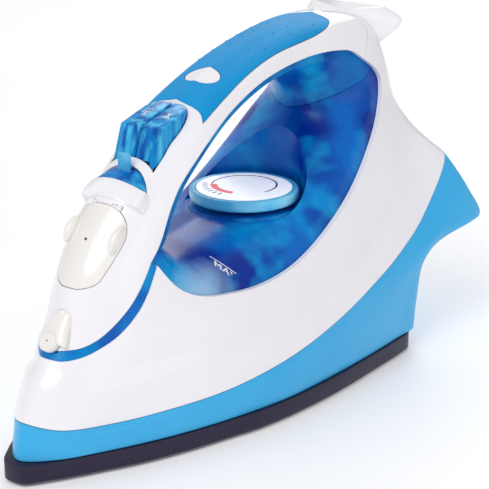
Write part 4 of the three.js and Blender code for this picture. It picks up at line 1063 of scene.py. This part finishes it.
# Sizes of clouds, gloss, grain and relief in the finishes
edge_round = 0.35 * mm
cloud_size = 30 * mm
gloss_size = 8 * mm
tint_size = 26 * mm
tint_gloss = 10 * mm
wave_size = 16 * mm
wave_depth = 0.1 * mm
speck_size = 1.1 * mm
wear_size = 5 * mm
underside_depth = 0.05 * mm
coating_gloss = 3 * mm
coating_grain = 0.8 * mm
coating_depth = 0.03 * mm
rubber_clouds = 14 * mm
rubber_gloss = 4 * mm
rubber_grain = 0.5 * mm
rubber_depth = 0.05 * mm
streak_depth = 0.02 * mm
lamp_clouds = 2 * mm
paper_clouds = 9 * mm
paper_gloss = 6 * mm


def moulded(name, colour, shade, roughness, grain, depth, coat=0.0):
    """Moulded plastic: faint clouds in its colour, gloss that wanders and a fine skin."""
    finish = Finish(name, coat_weight=coat, coat_roughness=0.08)
    clouds = finish.noise(cloud_size)
    finish.feed("Base Color", finish.mixed(clouds.rises(0.3, 0.7) * 0.6, colour, shade))
    finish.feed("Roughness", finish.noise(gloss_size, 3) * 0.08 + (roughness - 0.04))
    finish.relief(finish.noise(grain, 2), depth, edge_round)
    return finish.material


def tinted(name, colours, share, tint, streak=(1, 1, 1), size=tint_size, glow=None):
    """Clear tinted plastic: gloss over deep, middle and light clouds, a painted glow of pale light round a
    place where one is given, and a share of it let through.
    """
    finish = Finish(name, coat_weight=0.12, coat_roughness=0.08, ior=1.49, specular_ior_level=0.2)
    deep, middle, light = colours
    depths = finish.mixed(finish.noise(size, 1, streak).rises(0.36, 0.6), deep, middle)
    lights = finish.noise(size * 0.7, 2, streak).rises(0.46, 0.7)
    colour = finish.mixed(lights, depths, light)
    # A pale glow painted round the given place: painted light that stands for light shining through the tank.
    if glow:
        colour = finish.mixed(finish.near(*glow), colour, painted_glow_colour)
    finish.feed("Base Color", colour)
    finish.feed("Roughness", finish.noise(tint_gloss) * 0.06 + 0.24)
    finish.relief(finish.noise(wave_size, 1), wave_depth, edge_round)
    facing = finish.node("LayerWeight", {}, {"Blend": 0.35}, "Facing")
    finish.see_through(tint, (facing * 0.3 + share).held())
    return finish.material


def coated_sole():
    """Dark non-stick coating with fine speckles, and a paler bevel round its rim that is a painted highlight
    with blotches of wear.
    """
    finish = Finish("sole_coating", metallic=0.2)
    specks = finish.noise(speck_size, 2).rises(0.62, 0.7)
    across, along, rise = finish.parts()
    # The bevel round the rim gets a paler colour: a painted highlight of the rounded edge.
    rim = 1 - rise.rises(sole_bevel * 0.7, sole_bevel * 1.15)
    wear = finish.noise(wear_size, 4).rises(0.35, 0.7)
    dark = finish.mixed(specks * 0.5, rgb(25, 15, 50), rgb(60, 50, 82))
    # Paler colour of the bevel: a painted highlight, mottled by blotches of wear.
    bevel_wear_and_painted_highlight = finish.mixed(wear, rgb(118, 108, 124), rgb(86, 78, 94))
    finish.feed("Base Color", finish.mixed(rim * rise.rises(0, underside_depth), dark, bevel_wear_and_painted_highlight))
    finish.feed("Roughness", finish.noise(coating_gloss, 3) * 0.15 + 0.3)
    finish.relief(finish.noise(coating_grain, 2), coating_depth, edge_round)
    return finish.material


def soft_rubber():
    finish = Finish("soft_blue", specular_ior_level=0.22)
    clouds = finish.noise(rubber_clouds, 3)
    finish.feed("Base Color", finish.mixed(clouds.rises(0.3, 0.7) * 0.5, rgb(0, 152, 216), rgb(0, 138, 204)))
    finish.feed("Roughness", finish.noise(rubber_gloss, 3) * 0.12 + 0.5)
    finish.relief(finish.noise(rubber_grain, 3), rubber_depth, edge_round)
    return finish.material


def bare_metal(name, colour, shade, roughness, stretch, grain):
    finish = Finish(name, metallic=1.0)
    streaks = finish.noise(grain, 3, stretch)
    finish.feed("Base Color", finish.mixed(streaks, colour, shade))
    finish.feed("Roughness", streaks * 0.25 + (roughness - 0.1))
    finish.relief(streaks, streak_depth, edge_round)
    return finish.material


def lamp_amber():
    finish = Finish("lamp_glass", roughness=0.1, transmission_weight=0.6)
    glow = finish.noise(lamp_clouds)
    finish.feed("Base Color", finish.mixed(glow, rgb(255, 150, 60), rgb(220, 90, 30)))
    return finish.material


print_turn = math.radians(37)
print_shift = 0.14 * dial_face_radius
print_ring = 0.68 * dial_face_radius
print_blur = 0.12 * mm
print_reaches = {  # inwards and outwards from the ring
    "line": (0.45 * mm, 0.35 * mm),
    "wedge": (2.7 * mm, 0.5 * mm),
    "marks": (-1.9 * mm, 4.6 * mm),
}


def printed_dial_with_painted_glow():
    """A white face with the temperature scale printed round it, glowing in its own colours as painted light.
    """
    # Emission makes the face glow though it is no lamp: painted light that brightens it in the handle's
    # shade.
    finish = Finish("dial_print_and_painted_glow", emission_strength=0.4)
    x, y, z = finish.parts()
    east = x - (dial_x - print_shift * math.cos(print_turn))
    north = y + print_shift * math.sin(print_turn)
    radius = (east * east + north * north) ** 0.5
    angle = finish.node("Math", {"operation": "ARCTAN2"}, {0: north, 1: east}) - print_turn
    angle = finish.node("Math", {"operation": "WRAP"}, {0: angle, 1: math.pi, 2: -math.pi})

    def ringed(part):
        inwards, outwards = print_reaches[part]
        return radius.band(print_ring - inwards, print_ring + outwards, print_blur)

    def swept(first, last):
        return angle.band(math.radians(first), math.radians(last), 0.01)

    left = 1 - angle.rises(math.radians(-96), math.radians(-95))
    right = angle.rises(math.radians(38), math.radians(39))
    navy = ringed("line") * (left + right).held()
    red = ringed("wedge") * swept(-94, -22)
    teeth = finish.node("Math", {"operation": "SINE"}, {0: angle * 36}).rises(0.3, 0.5)
    marks = ringed("marks") * swept(-100, -30) * teeth
    paper = finish.mixed(finish.noise(paper_clouds), rgb(252, 252, 254), rgb(246, 247, 250))
    inked = finish.mixed((navy + marks).held(), paper, rgb(16, 26, 96))
    printed = finish.mixed(red, inked, rgb(226, 30, 44))
    finish.feed("Base Color", printed)
    # The printed colours also feed the emission: a painted glow over the whole face.
    finish.feed("Emission Color", printed)
    finish.feed("Roughness", finish.noise(paper_gloss) * 0.06 + 0.2)
    return finish.material


def stone_floor():
    finish = Finish("pale_floor", emission_color=(1, 1, 1, 1), emission_strength=0.16)
    clouds = finish.noise(10 * cloud_size)
    finish.feed("Base Color", finish.mixed(clouds, (0.92, 0.92, 0.93, 1), (0.9, 0.9, 0.91, 1)))
    finish.feed("Roughness", finish.noise(25 * gloss_size) * 0.1 + 0.5)
    return finish.material


white = moulded("white_plastic", rgb(246, 244, 248), rgb(242, 240, 246), 0.24, 0.6 * mm, 0.006 * mm, 0.4)
cap_white = moulded("cap_white", rgb(243, 240, 236), rgb(238, 235, 231), 0.22, 0.6 * mm, 0.006 * mm, 0.4)
blue = moulded("blue_plastic", rgb(52, 178, 234), rgb(44, 170, 230), 0.34, 0.5 * mm, 0.01 * mm)
dark = moulded("dark_plastic", rgb(38, 40, 46), rgb(30, 31, 36), 0.45, 0.5 * mm, 0.02 * mm)
silicone = moulded("seal_rubber", rgb(170, 175, 182), rgb(156, 162, 170), 0.6, 0.6 * mm, 0.02 * mm)
# Painted light: a pale cyan glow on the tank's skin near the ring's lower edge, standing for light shining
# through it.
painted_glow_colour = rgb(196, 236, 252)
painted_tank_glow = ((56 * mm, 34 * mm, 66 * mm), 20 * mm)
tank_colours = (rgb(0, 50, 158), rgb(0, 112, 208), rgb(0, 168, 234))
liner_colours = (rgb(0, 88, 184), rgb(0, 134, 214), rgb(30, 176, 234))
button_colours = (rgb(0, 84, 178), rgb(0, 142, 216), rgb(80, 208, 248))
lever_colours = (rgb(0, 84, 178), rgb(0, 132, 212), rgb(60, 192, 240))
rim_colours = (rgb(70, 190, 240), rgb(96, 204, 246), rgb(150, 226, 252))
tab_colours = (rgb(64, 178, 230), rgb(90, 196, 240), rgb(160, 226, 250))
key_tint = (0.2, 0.7, 1, 1)
pale_tint = (0.4, 0.8, 1, 1)
clear_blue = tinted("clear_blue", tank_colours, 0.8, (0.06, 0.5, 1, 1), glow=painted_tank_glow)
liner_blue = tinted("liner_blue", liner_colours, 0.7, (0.1, 0.65, 1, 1))
button_blue = tinted("button_blue", button_colours, 0.82, key_tint, (1, 1, 0.08), 5 * mm)
lever_blue = tinted("lever_blue", lever_colours, 0.84, key_tint, size=9 * mm)
rim_blue = tinted("rim_blue", rim_colours, 0.94, pale_tint)
tab_blue = tinted("tab_blue", tab_colours, 0.7, pale_tint)
rubber = soft_rubber()
sole_dark = coated_sole()
cast_metal = bare_metal("cast_metal", rgb(186, 188, 192), rgb(150, 152, 158), 0.5, (1, 1, 1), 1.5 * mm)
steel = bare_metal("steel", rgb(200, 203, 208), rgb(170, 173, 180), 0.3, (1, 12, 12), 3 * mm)
amber = lamp_amber()
dial_print_and_painted_glow = printed_dial_with_painted_glow()


# Dressing
def dress(piece, name, body, slot, finish, *nodes):
    named(piece, name)
    piece.data.materials.clear()
    piece.data.materials.append(finish)
    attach(piece, body)
    if nodes:
        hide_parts(*nodes)
    return piece


def repaint(finish, *nodes):
    for node in nodes:
        for place in frame["nodes"][node].material_slots:
            place.material = finish


outer = form_solid(creased_rings(), "outer")
wall = form_at(shell_wall)
spokes = tunnel_spokes()
inner_depth = shell_wall + clearance


# Soleplate with its rounded rim and steam vents
def soleplate():
    outline = mirrored(curved(plan(sole_shares), 5))
    level = lambda points, rise: [(x, y, rise) for x, y in points]
    plate = ring_solid("soleplate", [
        level(grown(outline, -sole_bevel), 0),
        level(outline, sole_bevel),
        level(outline, sole_thickness),
    ])
    vents = [(x, y * hand) for x, y in vent_shares for hand in ((1, -1) if y else (1,))]
    for x, y in vents:
        place = moved(x * length, y * width)
        without(plate, rod("vent", vent_radius, -sole_thickness, sole_thickness * 0.6, place, steps=16))
    return smoothed(softened(plate, sole_edge, 2))


# Housing
def skirt():
    piece = within(copied(outer), below_seam(0, hem_height))
    return smoothed(without(piece, wall, keep=True))


def body_shell():
    piece = without(copied(outer), below_seam(clearance, -overrun), above_body(), rear_side(clearance))
    without(piece, fin_solid(clearance))
    return smoothed(without(piece, wall, keep=True))


def rear_cover():
    piece = within(without(copied(outer), wall, keep=True), rear_side(0))
    without(piece, below_seam(clearance, -overrun))
    fin = without(fin_solid(0), wall, keep=True)
    joined(piece, fin)
    ball_room = turned("room", ball_profile(gland_ball_radius + clearance), round_steps, gland_frame)
    without(piece, ball_room)
    for hand in (1, -1):
        swing = gland_frame @ about("Y", math.radians(hand * gland_swing))
        without(piece, rod("sleeve room", gland_sleeve_radius + clearance, 0, overrun, swing))
        without(piece, screw_solid(clearance, screw_frame(hand)))
    return smoothed(piece)


def ball_profile(radius, steps=16):
    angles = [math.pi * i / steps for i in range(steps + 1)]
    return [(radius * math.sin(a), -radius * math.cos(a)) for a in angles]


def screw_frame(hand):
    return moved(y=hand * screw_side) @ tilted(screw_shares, -math.pi / 2)


def screw_solid(growth, frame):
    low = -screw_shank_length - growth
    shank = screw_shank_radius + growth
    head = screw_head_radius + growth
    crown = screw_head_radius * 0.55 + growth
    profile = [
        (0, low), (shank, low), (shank, -growth), (head, -growth),
        (head, screw_head_side), (crown, screw_head_height), (0, screw_head_height),
    ]
    return turned("screw", profile, 32, frame)


def crossed_screw(hand):
    """A screw with a cross recess."""
    screw = screw_solid(0, Matrix.Identity(4))
    for turn in (0, math.pi / 2):
        place = about("Z", turn) @ moved(z=screw_head_height) @ scaled(*screw_slot_sizes)
        without(screw, placed(added(bpy.ops.mesh.primitive_cube_add, size=1), place))
    return smoothed(placed(screw, screw_frame(hand)))


def cord_gland():
    """A ball with a ribbed sleeve that tapers to where a cord would go in."""
    neck = gland_ball_radius * 0.82
    profile = [point for point in ball_profile(gland_ball_radius) if point[1] < neck]
    for rib in range(gland_rib_count):
        low = gland_ball_radius + (rib + 0.4) * gland_sleeve_length / (gland_rib_count + 0.6)
        crest = gland_sleeve_radius - rib * gland_rib_thinning
        top = low + gland_rib_length
        groove = crest - gland_groove_depth
        start = top + gland_groove_slope
        profile += [(crest, low), (crest, top), (groove, start), (groove, start + gland_groove_length)]
    end = gland_ball_radius + gland_sleeve_length
    floor = neck - gland_bore_depth
    mouth = (gland_sleeve_radius - gland_end_thinning, end)
    profile += [mouth, (gland_bore, end), (gland_bore, floor), (0, floor)]
    return smoothed(turned("cord_gland", profile, round_steps, gland_frame))


# Water tank, handle liner and handle
def dial_pocket(radius, low):
    return rod("pocket", radius, low, low + overrun, dial_frame, steps=fine_steps)


def press_point(forward, up):
    point = press_frame @ Vector((forward, 0, up))
    return (point.x, point.z)


seat_rise = pump_bottom + clearance
tank_outline = np.concatenate([
    side(tank_floor_shares),
    side(tank_rear_shares),
    [press_point(pump_forward - pump_seat_back, -seat_rise)],
    [press_point(pump_forward + pump_seat_front, -seat_rise)],
    side(tank_front_shares),
])


def water_tank():
    piece = within(form_at(inner_depth), side_prism(tank_outline))
    without(piece, tunnel_solid(0), dial_pocket(dial_pocket_radius, platform_height))
    low, high = platform_height - collar_depth, platform_height + collar_height
    joined(piece, rod("collar", collar_radius, low, high, dial_frame, collar_edge, 2 * round_steps))
    joined(piece, rod("neck", neck_radius, neck_low, neck_high, door_frame))
    room = within(form_at(inner_depth + tank_wall), side_prism(grown(tank_outline, -tank_wall)))
    pocket = dial_pocket(dial_pocket_radius + tank_wall, platform_height - tank_wall)
    tube = rod("tube", shaft_tube_radius, 0, far_top, dial_frame)
    without(room, tunnel_solid(tank_wall), pocket, tube, nozzle_room(clearance + tank_wall))
    without(piece, room, rod("bore", neck_bore, neck_low, overrun, door_frame))
    without(piece, rod("bore", shaft_tube_bore, 0, far_top, dial_frame))
    strip = without(form_at(band_depth), form_at(inner_depth + tank_wall / 2))
    within(strip, above_body())
    without(strip, handle_side(), side_prism(grown(aperture_outline, clearance)))
    joined(piece, strip)
    return smoothed(without(piece, nozzle_room(clearance)))


def handle_liner():
    region = side_prism(grown(aperture_outline, shell_wall / 2))
    piece = within(form_at(inner_depth), region)
    without(piece, tunnel_solid(0), side_prism(grown(tank_outline, clearance)))
    hollow = without(form_at(inner_depth + liner_wall), tunnel_solid(liner_wall))
    bed = side_prism(grown(grip_outline, shell_wall + clearance))
    return smoothed(without(piece, hollow, within(form_at(grip_thickness - clearance), bed)))


def lever_height(radius):
    return lever_crown * (1 - (radius / lever_radius) ** 2)


def ridge_at(radius):
    """How far a place on the lever's dome rises over the hollows between its rings."""
    past = max(radius - lever_rings_start, 0)
    return abs(math.sin(math.pi * past / lever_ring_step))


def lever_dome(lift, thickness, edge, ridge=0):
    radii = np.linspace(0, edge, 61)
    top = [(radius, lever_height(radius) + lift + ridge * ridge_at(radius)) for radius in radii[::-1]]
    bottom = [(radius, lever_height(radius) + lift - thickness) for radius in radii]
    return turned("dome", bottom + top, fine_steps)


def half_space(reach):
    """A block behind a plane across a frame's X."""
    return placed(added(bpy.ops.mesh.primitive_cube_add, size=2 * overrun), moved(reach - overrun))


def lever_seat():
    """A bowl under the lever's dome, its rim tucked just under the handle's surface."""
    drop = -lever_thickness - clearance
    inner = lever_radius + 2 * clearance
    edge = inner + shell_wall
    bowl = placed(lever_dome(drop, shell_wall, (inner + edge) / 2), lever_frame)
    low = lever_height(edge) + drop - 2 * shell_wall
    profile = [(inner, low), (edge, low), (edge, overrun / 2), (inner, overrun / 2)]
    rim = turned("rim", profile, fine_steps, lever_frame)
    seat = joined(bowl, within(rim, form_at(clearance)))
    return within(seat, placed(half_space(lever_seat_reach + 3 * clearance), lever_frame))


def lever_sweep(gap):
    """All the plan that the lever's flat front edge sweeps while it turns."""
    turn = math.radians(lever_swing)
    far = lever_radius + overrun / 4
    front = gap - lever_chord / math.cos(turn) + far * math.tan(turn)
    outline = [(-far, -far), (front, -far), (gap - lever_chord, 0), (front, far), (-far, far)]
    return plan_prism(outline, -overrun / 4, overrun / 2)


def lever_hood():
    """The rise in the cap that carries the lever's dome on to the filler door."""
    under = lever_ridge + hinge_gap
    lift = under + hood_skin
    reach = lever_radius + hood_spread
    radii = np.linspace(0, reach - hood_edge, 24)
    top = [(radius, lever_height(radius) + lift) for radius in radii[::-1]]
    turns = np.radians(np.linspace(0, 80, 6))
    x, z = top[0]
    edge = [(x + hood_edge * math.cos(turn), z + hood_edge * (math.sin(turn) - 1)) for turn in turns]
    low = lever_height(reach) - 2 * shell_wall
    dome = turned("hood", [(0, low), (reach, low), *edge, *top], fine_steps)
    fall = curved(np.array(hood_fall_sizes) * mm, 4)
    outline = [(fall[-1][0], low), *fall[::-1], (fall[0][0], low)]
    within(dome, side_prism(outline, width / 4))
    room = within(lever_dome(under, lever_height(0) - low, lever_radius + clearance), lever_sweep(clearance))
    return placed(without(dome, room), lever_frame)


def lens_prism(growth):
    angles = np.linspace(0, 2 * math.pi, 64, endpoint=False)
    along = lens_x + (lens_length / 2 + growth) * np.cos(angles)
    across = (lens_width / 2 + growth) * np.sin(angles)
    return plan_prism(np.stack([along, across], axis=1), height / 2, far_top)


def button_prism(growth):
    """Room for both keys together, round at the rear in plan."""
    reach = button_length / 2 + growth
    across = button_split / 2 + button_width + growth
    radius = button_round + growth
    turn = np.linspace(math.pi / 2, math.pi, 12)
    bend = np.stack([radius - reach + radius * np.cos(turn), across - radius + radius * np.sin(turn)], axis=1)
    outline = np.concatenate([[(reach, -across), (reach, across)], bend, bend[::-1] * (1, -1)])
    return plan_prism(outline, button_front_top - button_skirt * 2, button_front_top + button_rise * 2)


def handle_shell():
    piece = without(within(copied(outer), handle_side()), wall, keep=True)
    grip_room = without(side_prism(grown(grip_outline, clearance)), form_at(grip_thickness + clearance))
    lever_room = rod("room", lever_radius + clearance, -overrun / 4, overrun / 2, steps=fine_steps)
    lever_room = placed(within(lever_room, lever_sweep(clearance)), lever_frame)
    without(piece, grip_room, lever_room, door_prism(clearance), ears(clearance))
    joined(piece, lever_seat(), lever_hood())
    reach = (door_pin_length - door_knuckle_length) / 4 - hinge_gap
    middle = (door_pin_length + door_knuckle_length) / 4
    for hand in (1, -1):
        joined(piece, along_y("lug", door_knuckle_radius, reach, hinge_frame @ moved(y=hand * middle)))
    well = placed(button_prism(button_well_gap), press_frame)
    without(piece, well, nozzle_room(clearance), fin_solid(clearance))
    knuckle = along_y("room", hinge_radius, door_knuckle_length / 2 + hinge_gap, hinge_frame)
    without(piece, knuckle, without(lens_prism(clearance), form_at(grip_thickness)))
    return smoothed(piece)


def soft_grip():
    piece = without(within(form_at(0), side_prism(grip_outline)), form_at(grip_thickness))
    return smoothed(without(piece, lens_prism(clearance), fin_solid(clearance)))


def lamp_lens():
    piece = without(form_at(lens_sink), form_at(grip_thickness))
    return smoothed(within(piece, lens_prism(0)))


# Moving pieces
def temperature_dial():
    base = dial_top - dial_rim_height
    floor = dial_top - dial_face_thickness - clearance
    lip = dial_face_radius + clearance
    hub = [(0, base - dial_hub_depth), (dial_hub_radius, base - dial_hub_depth), (dial_hub_radius, base)]
    corners = [hub[-1], (dial_radius, base), (dial_radius, dial_top), (lip, dial_top)]
    rim = rounded(np.array(corners), dial_edge, 6)[6:]
    profile = [*hub, *rim, (lip, dial_top), (lip, floor), (0, floor)]
    return smoothed(turned("temperature_dial", profile, 2 * round_steps, dial_frame), 50)


def dial_face():
    low = dial_top - dial_face_thickness
    return smoothed(rod("face", dial_face_radius, low, dial_top, dial_frame, dial_face_edge, 2 * round_steps))


def steam_lever():
    dome = within(lever_dome(0, lever_thickness, lever_radius, lever_ridge), half_space(-lever_chord))
    softened(dome, lever_edge, 2, 40)
    high = lever_height(lever_pin_back) - lever_thickness / 2
    pin = rod("pin", lever_pin_radius, -lever_crown, high, moved(-lever_pin_back), steps=16)
    return smoothed(placed(joined(dome, pin), lever_frame))


def lever_tab():
    """The upright tab that the thumb pushes, standing in the lever's rim."""
    foot = lever_radius - tab_inset
    upright = moved(-foot, 0, lever_height(foot) + tab_thickness / 2) @ about("Y", -lever_tilt)
    shape = upright @ moved(z=tab_height / 2 - tab_thickness) @ scaled(tab_thickness, tab_width, tab_height)
    tab = placed(added(bpy.ops.mesh.primitive_cube_add, size=1), shape)
    return smoothed(placed(softened(tab, tab_edge, 3), lever_frame))


def push_button(hand):
    """One key, its front stepped up over the lever and its boss standing on the pump's spring."""
    half = button_length / 2
    front_low = button_front_top - button_skirt
    piece = side_prism([
        (half, front_low),
        (half, button_front_top),
        (-half, button_front_top + button_rise),
        (-half, front_low + button_rise),
    ], button_width / 2)
    middle = hand * button_middle
    within(piece, placed(button_prism(0), moved(y=-middle)))
    softened(piece, button_edge, 4)
    near, far = -hand * button_width, hand * skirt_step_side
    front, back = half + clearance, half - skirt_step_back
    step = plan_prism([(back, near), (front, near), (front, far), (back, far)], -overrun, -skirt_step)
    axis = moved(pump_forward, hand * boss_side)
    without(piece, step, rod("hollow", button_hollow_radius, -overrun, -boss_length, axis))
    joined(piece, rod("boss", boss_radius, -boss_length, button_front_top, axis))
    return smoothed(placed(piece, press_frame @ moved(y=middle)))


# Printed marks and dots
def strokes(lines, line_width, frame, half_height=mark_rise):
    """Thin bars laid along lines given in millimetres on a frame's plane."""
    bars = []
    for line in lines:
        for start, end in zip(line, line[1:]):
            start, end = np.array(start) * mm, np.array(end) * mm
            along = (end - start) / np.linalg.norm(end - start) * line_width / 2
            across = np.array([-along[1], along[0]])
            low, high = start - along, end + along
            corners = [low - across, high - across, high + across, low + across]
            bars.append(plan_prism(corners, -half_height, half_height))
    return placed(merged(bars), frame)


def merged(pieces):
    alone(pieces[0])
    for piece in pieces:
        piece.select_set(True)
    bpy.ops.object.join()
    return bpy.context.object


def arc(middle, radius, first, last, steps):
    turns = np.radians(np.linspace(first, last, steps + 1))
    return [(middle[0] + radius * math.cos(turn), middle[1] + radius * math.sin(turn)) for turn in turns]


def button_icon(lines, hand):
    frame = press_frame @ moved(0, hand * button_middle, button_front_top + button_rise / 2)
    return strokes(lines, icon_line, frame @ about("Y", math.atan2(button_rise, button_length)))


def level_mark():
    """The highest water level with its line, cut out of a thin skin so that it follows the tank's side."""
    x, z = level_mark_place
    frame = moved(x, width / 3, z) @ about("X", math.pi / 2) @ scaled(-1, 1, 1)
    frame = frame @ about("Z", math.radians(level_mark_turn))
    marks = edited(strokes(level_letters, level_line, frame, width / 6), face_out)
    skin = without(tunnel_solid(mark_rise), tunnel_solid(-mark_sink))
    return within(within(marks, skin), form_at(inner_depth))


def door_dot():
    x, z = door_dot_place
    frame = moved(x, 0, z) @ about("Y", slope_of(door_slope_share))
    return smoothed(rod("dot", door_dot_radius, -door_dot_depth, door_dot_radius, frame, steps=16))


def grip_dots():
    """Rows of small round bumps on the grip, staggered from row to row."""
    dots = []
    half = plain_rings.shape[1] // 2
    for number, row in enumerate(grip_dot_rows):
        ring = plain_rings[row]
        start = grip_dots_front_share * length - (number % 2) * grip_dot_step / 2
        for count in range(grip_dot_count):
            x = start - count * grip_dot_step
            for columns in (range(half), range(half, len(ring))):
                column = min(columns, key=lambda i: abs(ring[i][0] - x))
                place = ring[column] - plain_normals[row][column] * grip_dot_sink
                dot = added(bpy.ops.mesh.primitive_uv_sphere_add, segments=12, ring_count=6, radius=1)
                dots.append(placed(dot, moved(*place) @ scaled(*[grip_dot_radius] * 3)))
    return smoothed(merged(dots))


# Filler door and nozzle
def filler_door():
    piece = within(without(form_at(0), form_at(door_depth)), door_prism(0))
    behind = placed(half_space(0), hinge_frame)
    without(piece, behind, along_y("room", hinge_radius, door_pin_length, hinge_frame))
    knuckle = along_y("knuckle", door_knuckle_radius, door_knuckle_length / 2, hinge_frame)
    low = [(bridge_start, -bridge_half), (bridge_end, -bridge_half)]
    high = [(bridge_end, bridge_half), (bridge_start, bridge_half)]
    bridge = placed(side_prism([*low, *high], door_knuckle_length / 2), hinge_frame)
    lips = within(ears(0), door_prism(-clearance))
    joined(piece, knuckle, within(bridge, form_at(0)), lips)
    return smoothed(without(piece, along_y("bore", hinge_bore, door_pin_length, hinge_frame)))


def nozzle_hood():
    """The squarish rise over the nozzle, as rings from its rear to its front."""
    turns = np.linspace(0, 2 * math.pi, round_steps, endpoint=False)
    round_ring = np.array([np.cos(turns), np.sin(turns)])
    out, across = np.sign(round_ring) * np.abs(round_ring) ** nozzle_hood_squareness
    rings = []
    for along, half_width, rise in curved(np.array(nozzle_hood_sizes) * mm, 4):
        up = np.where(out > 0, rise, nozzle_hood_floor) * out
        rings.append(np.stack([-up, half_width * across, np.full(round_steps, along)], axis=1))
    return placed(ring_solid("hood", rings), nozzle_frame)


def spray_nozzle():
    mouth = [(nozzle_tip_radius - inwards, along) for inwards, along in np.array(nozzle_mouth_sizes) * mm]
    profile = [(0, -nozzle_length), (nozzle_rear_radius, -nozzle_length), *mouth, (0, mouth[-1][1])]
    nozzle = turned("nozzle", profile, round_steps, nozzle_frame)
    upright = nozzle_frame @ moved(z=-nozzle_disc_back) @ about("Y", -math.pi / 2)
    top = nozzle_disc_rise
    disc = rod("disc", nozzle_disc_radius, 0, top, upright, nozzle_disc_edge, round_steps)
    joined(nozzle, nozzle_hood(), disc)
    without(nozzle, rod("hole", nozzle_disc_hole, top / 2, top * 2, upright, steps=16))
    return smoothed(nozzle, 45)


dress(soleplate(), "soleplate_dressed", "housing", "sole_coating", sole_dark, "soleplate")
dress(skirt(), "skirt_dressed", "housing", "blue_plastic", blue, "skirt")
dress(body_shell(), "body_dressed", "housing", "white_plastic", white, "body_shell")
dress(rear_cover(), "rear_cover_dressed", "housing", "white_plastic", white, "rear_cover")
dress(cord_gland(), "cord_gland_dressed", "gland", "dark_plastic", dark, "cord_gland")
dress(crossed_screw(1), "rear_screw_left_dressed", "housing", "steel", steel, "rear_screw_left")
dress(crossed_screw(-1), "rear_screw_right_dressed", "housing", "steel", steel, "rear_screw_right")
dress(water_tank(), "water_tank_dressed", "housing", "clear_blue", clear_blue, "water_tank")
dress(handle_liner(), "handle_liner_dressed", "housing", "clear_blue", liner_blue, "handle_liner")
dress(handle_shell(), "handle_dressed", "housing", "white_plastic", white, "handle_shell")
dress(soft_grip(), "soft_grip_dressed", "housing", "soft_blue", rubber, "soft_grip")
dress(lamp_lens(), "lamp_lens_dressed", "housing", "white_plastic", white, "lamp_lens")
dress(temperature_dial(), "dial_dressed", "dial", "button_blue", rim_blue, "temperature_dial")
dress(dial_face(), "dial_face_dressed", "dial", "white_plastic", dial_print_and_painted_glow, "dial_face")
dress(steam_lever(), "steam_lever_dressed", "lever", "button_blue", lever_blue, "steam_lever")
dress(lever_tab(), "lever_tab_dressed", "lever", "button_blue", tab_blue)
dress(push_button(1), "spray_button_dressed", "spray_key", "button_blue", button_blue, "spray_button")
dress(push_button(-1), "steam_button_dressed", "steam_key", "button_blue", button_blue, "steam_button")
dress(filler_door(), "filler_door_dressed", "door", "white_plastic", cap_white, "filler_door")
dress(spray_nozzle(), "spray_nozzle_dressed", "housing", "white_plastic", cap_white, "spray_nozzle")
dress(grip_dots(), "grip_dots", "housing", "soft_blue", rubber)
dress(level_mark(), "level_mark", "housing", "white_plastic", white)
dress(door_dot(), "door_dot", "door", "dark_plastic", dark)
dress(button_icon(spray_icon, 1), "spray_icon", "spray_key", "white_plastic", white)
steam_icon = [arc(*sizes) for sizes in steam_icon_arcs]
dress(button_icon(steam_icon, -1), "steam_icon", "steam_key", "white_plastic", white)
dropped(outer, wall)

repaint(cast_metal, "steam_chamber_cover", "thermostat")
repaint(steel, "heating_element", "thermal_fuse", "heat_shield", "thermostat_shaft", "door_pin")
repaint(steel, "spray_spring", "steam_spring")
repaint(dark, "spray_pump", "spray_piston", "steam_pump", "steam_piston")
repaint(dark, "steam_valve_rod", "drip_valve", "terminal_block")
repaint(silicone, "steam_tube", "spray_hose", "filler_seal")
repaint(amber, "pilot_lamp")


# Floor, light and camera
def soft_light(name, place, aim, size, power):
    light = bpy.data.lights.new(name, "AREA")
    light.shape = "DISK"
    light.size = size
    light.energy = power
    lamp = bpy.data.objects.new(name, light)
    bpy.context.scene.collection.objects.link(lamp)
    lamp.location = place
    lamp.rotation_euler = (Vector(aim) - Vector(place)).to_track_quat("-Z", "Y").to_euler()
    return lamp


floor = laid_grid("floor", np.array([[(x, y, 0) for x in (-4, 4)] for y in (-4, 4)], float))
floor.data.materials.append(stone_floor())

soft_light("key", (0.9, 0.1, 1.1), (0, 0, 0.08), 0.9, 7)
soft_light("fill", (0.2, 1.4, 0.5), (0, 0, 0.08), 1.0, 2.2)
soft_light("back", (-1.0, -0.6, 0.9), (0, 0, 0.08), 0.8, 4.5)

world = bpy.data.worlds.new("studio")
world.use_nodes = True
world.node_tree.nodes["Background"].inputs["Color"].default_value = (0.985, 0.985, 1.0, 1)
world.node_tree.nodes["Background"].inputs["Strength"].default_value = 0.56
bpy.context.scene.world = world
bpy.context.scene.view_settings.view_transform = "Standard"

camera_turn = 0.6458
camera_rise = 0.3249
camera_distance = 853.3 * mm
camera_aim = Vector((-47.43, -23.17, 50)) * mm
sensor = 36
focal_pixels = 1700
image_pixels = 489

camera_data = bpy.data.cameras.new("camera")
camera_data.sensor_width = sensor
camera_data.lens = focal_pixels / image_pixels * sensor
camera = bpy.data.objects.new("camera", camera_data)
bpy.context.scene.collection.objects.link(camera)
away = Vector((
    math.cos(camera_turn) * math.cos(camera_rise),
    math.sin(camera_turn) * math.cos(camera_rise),
    math.sin(camera_rise),
))
camera.location = camera_aim + away * camera_distance
camera.rotation_euler = (-away).to_track_quat("-Z", "Y").to_euler()
bpy.context.scene.camera = camera

bpy.context.view_layer.update()
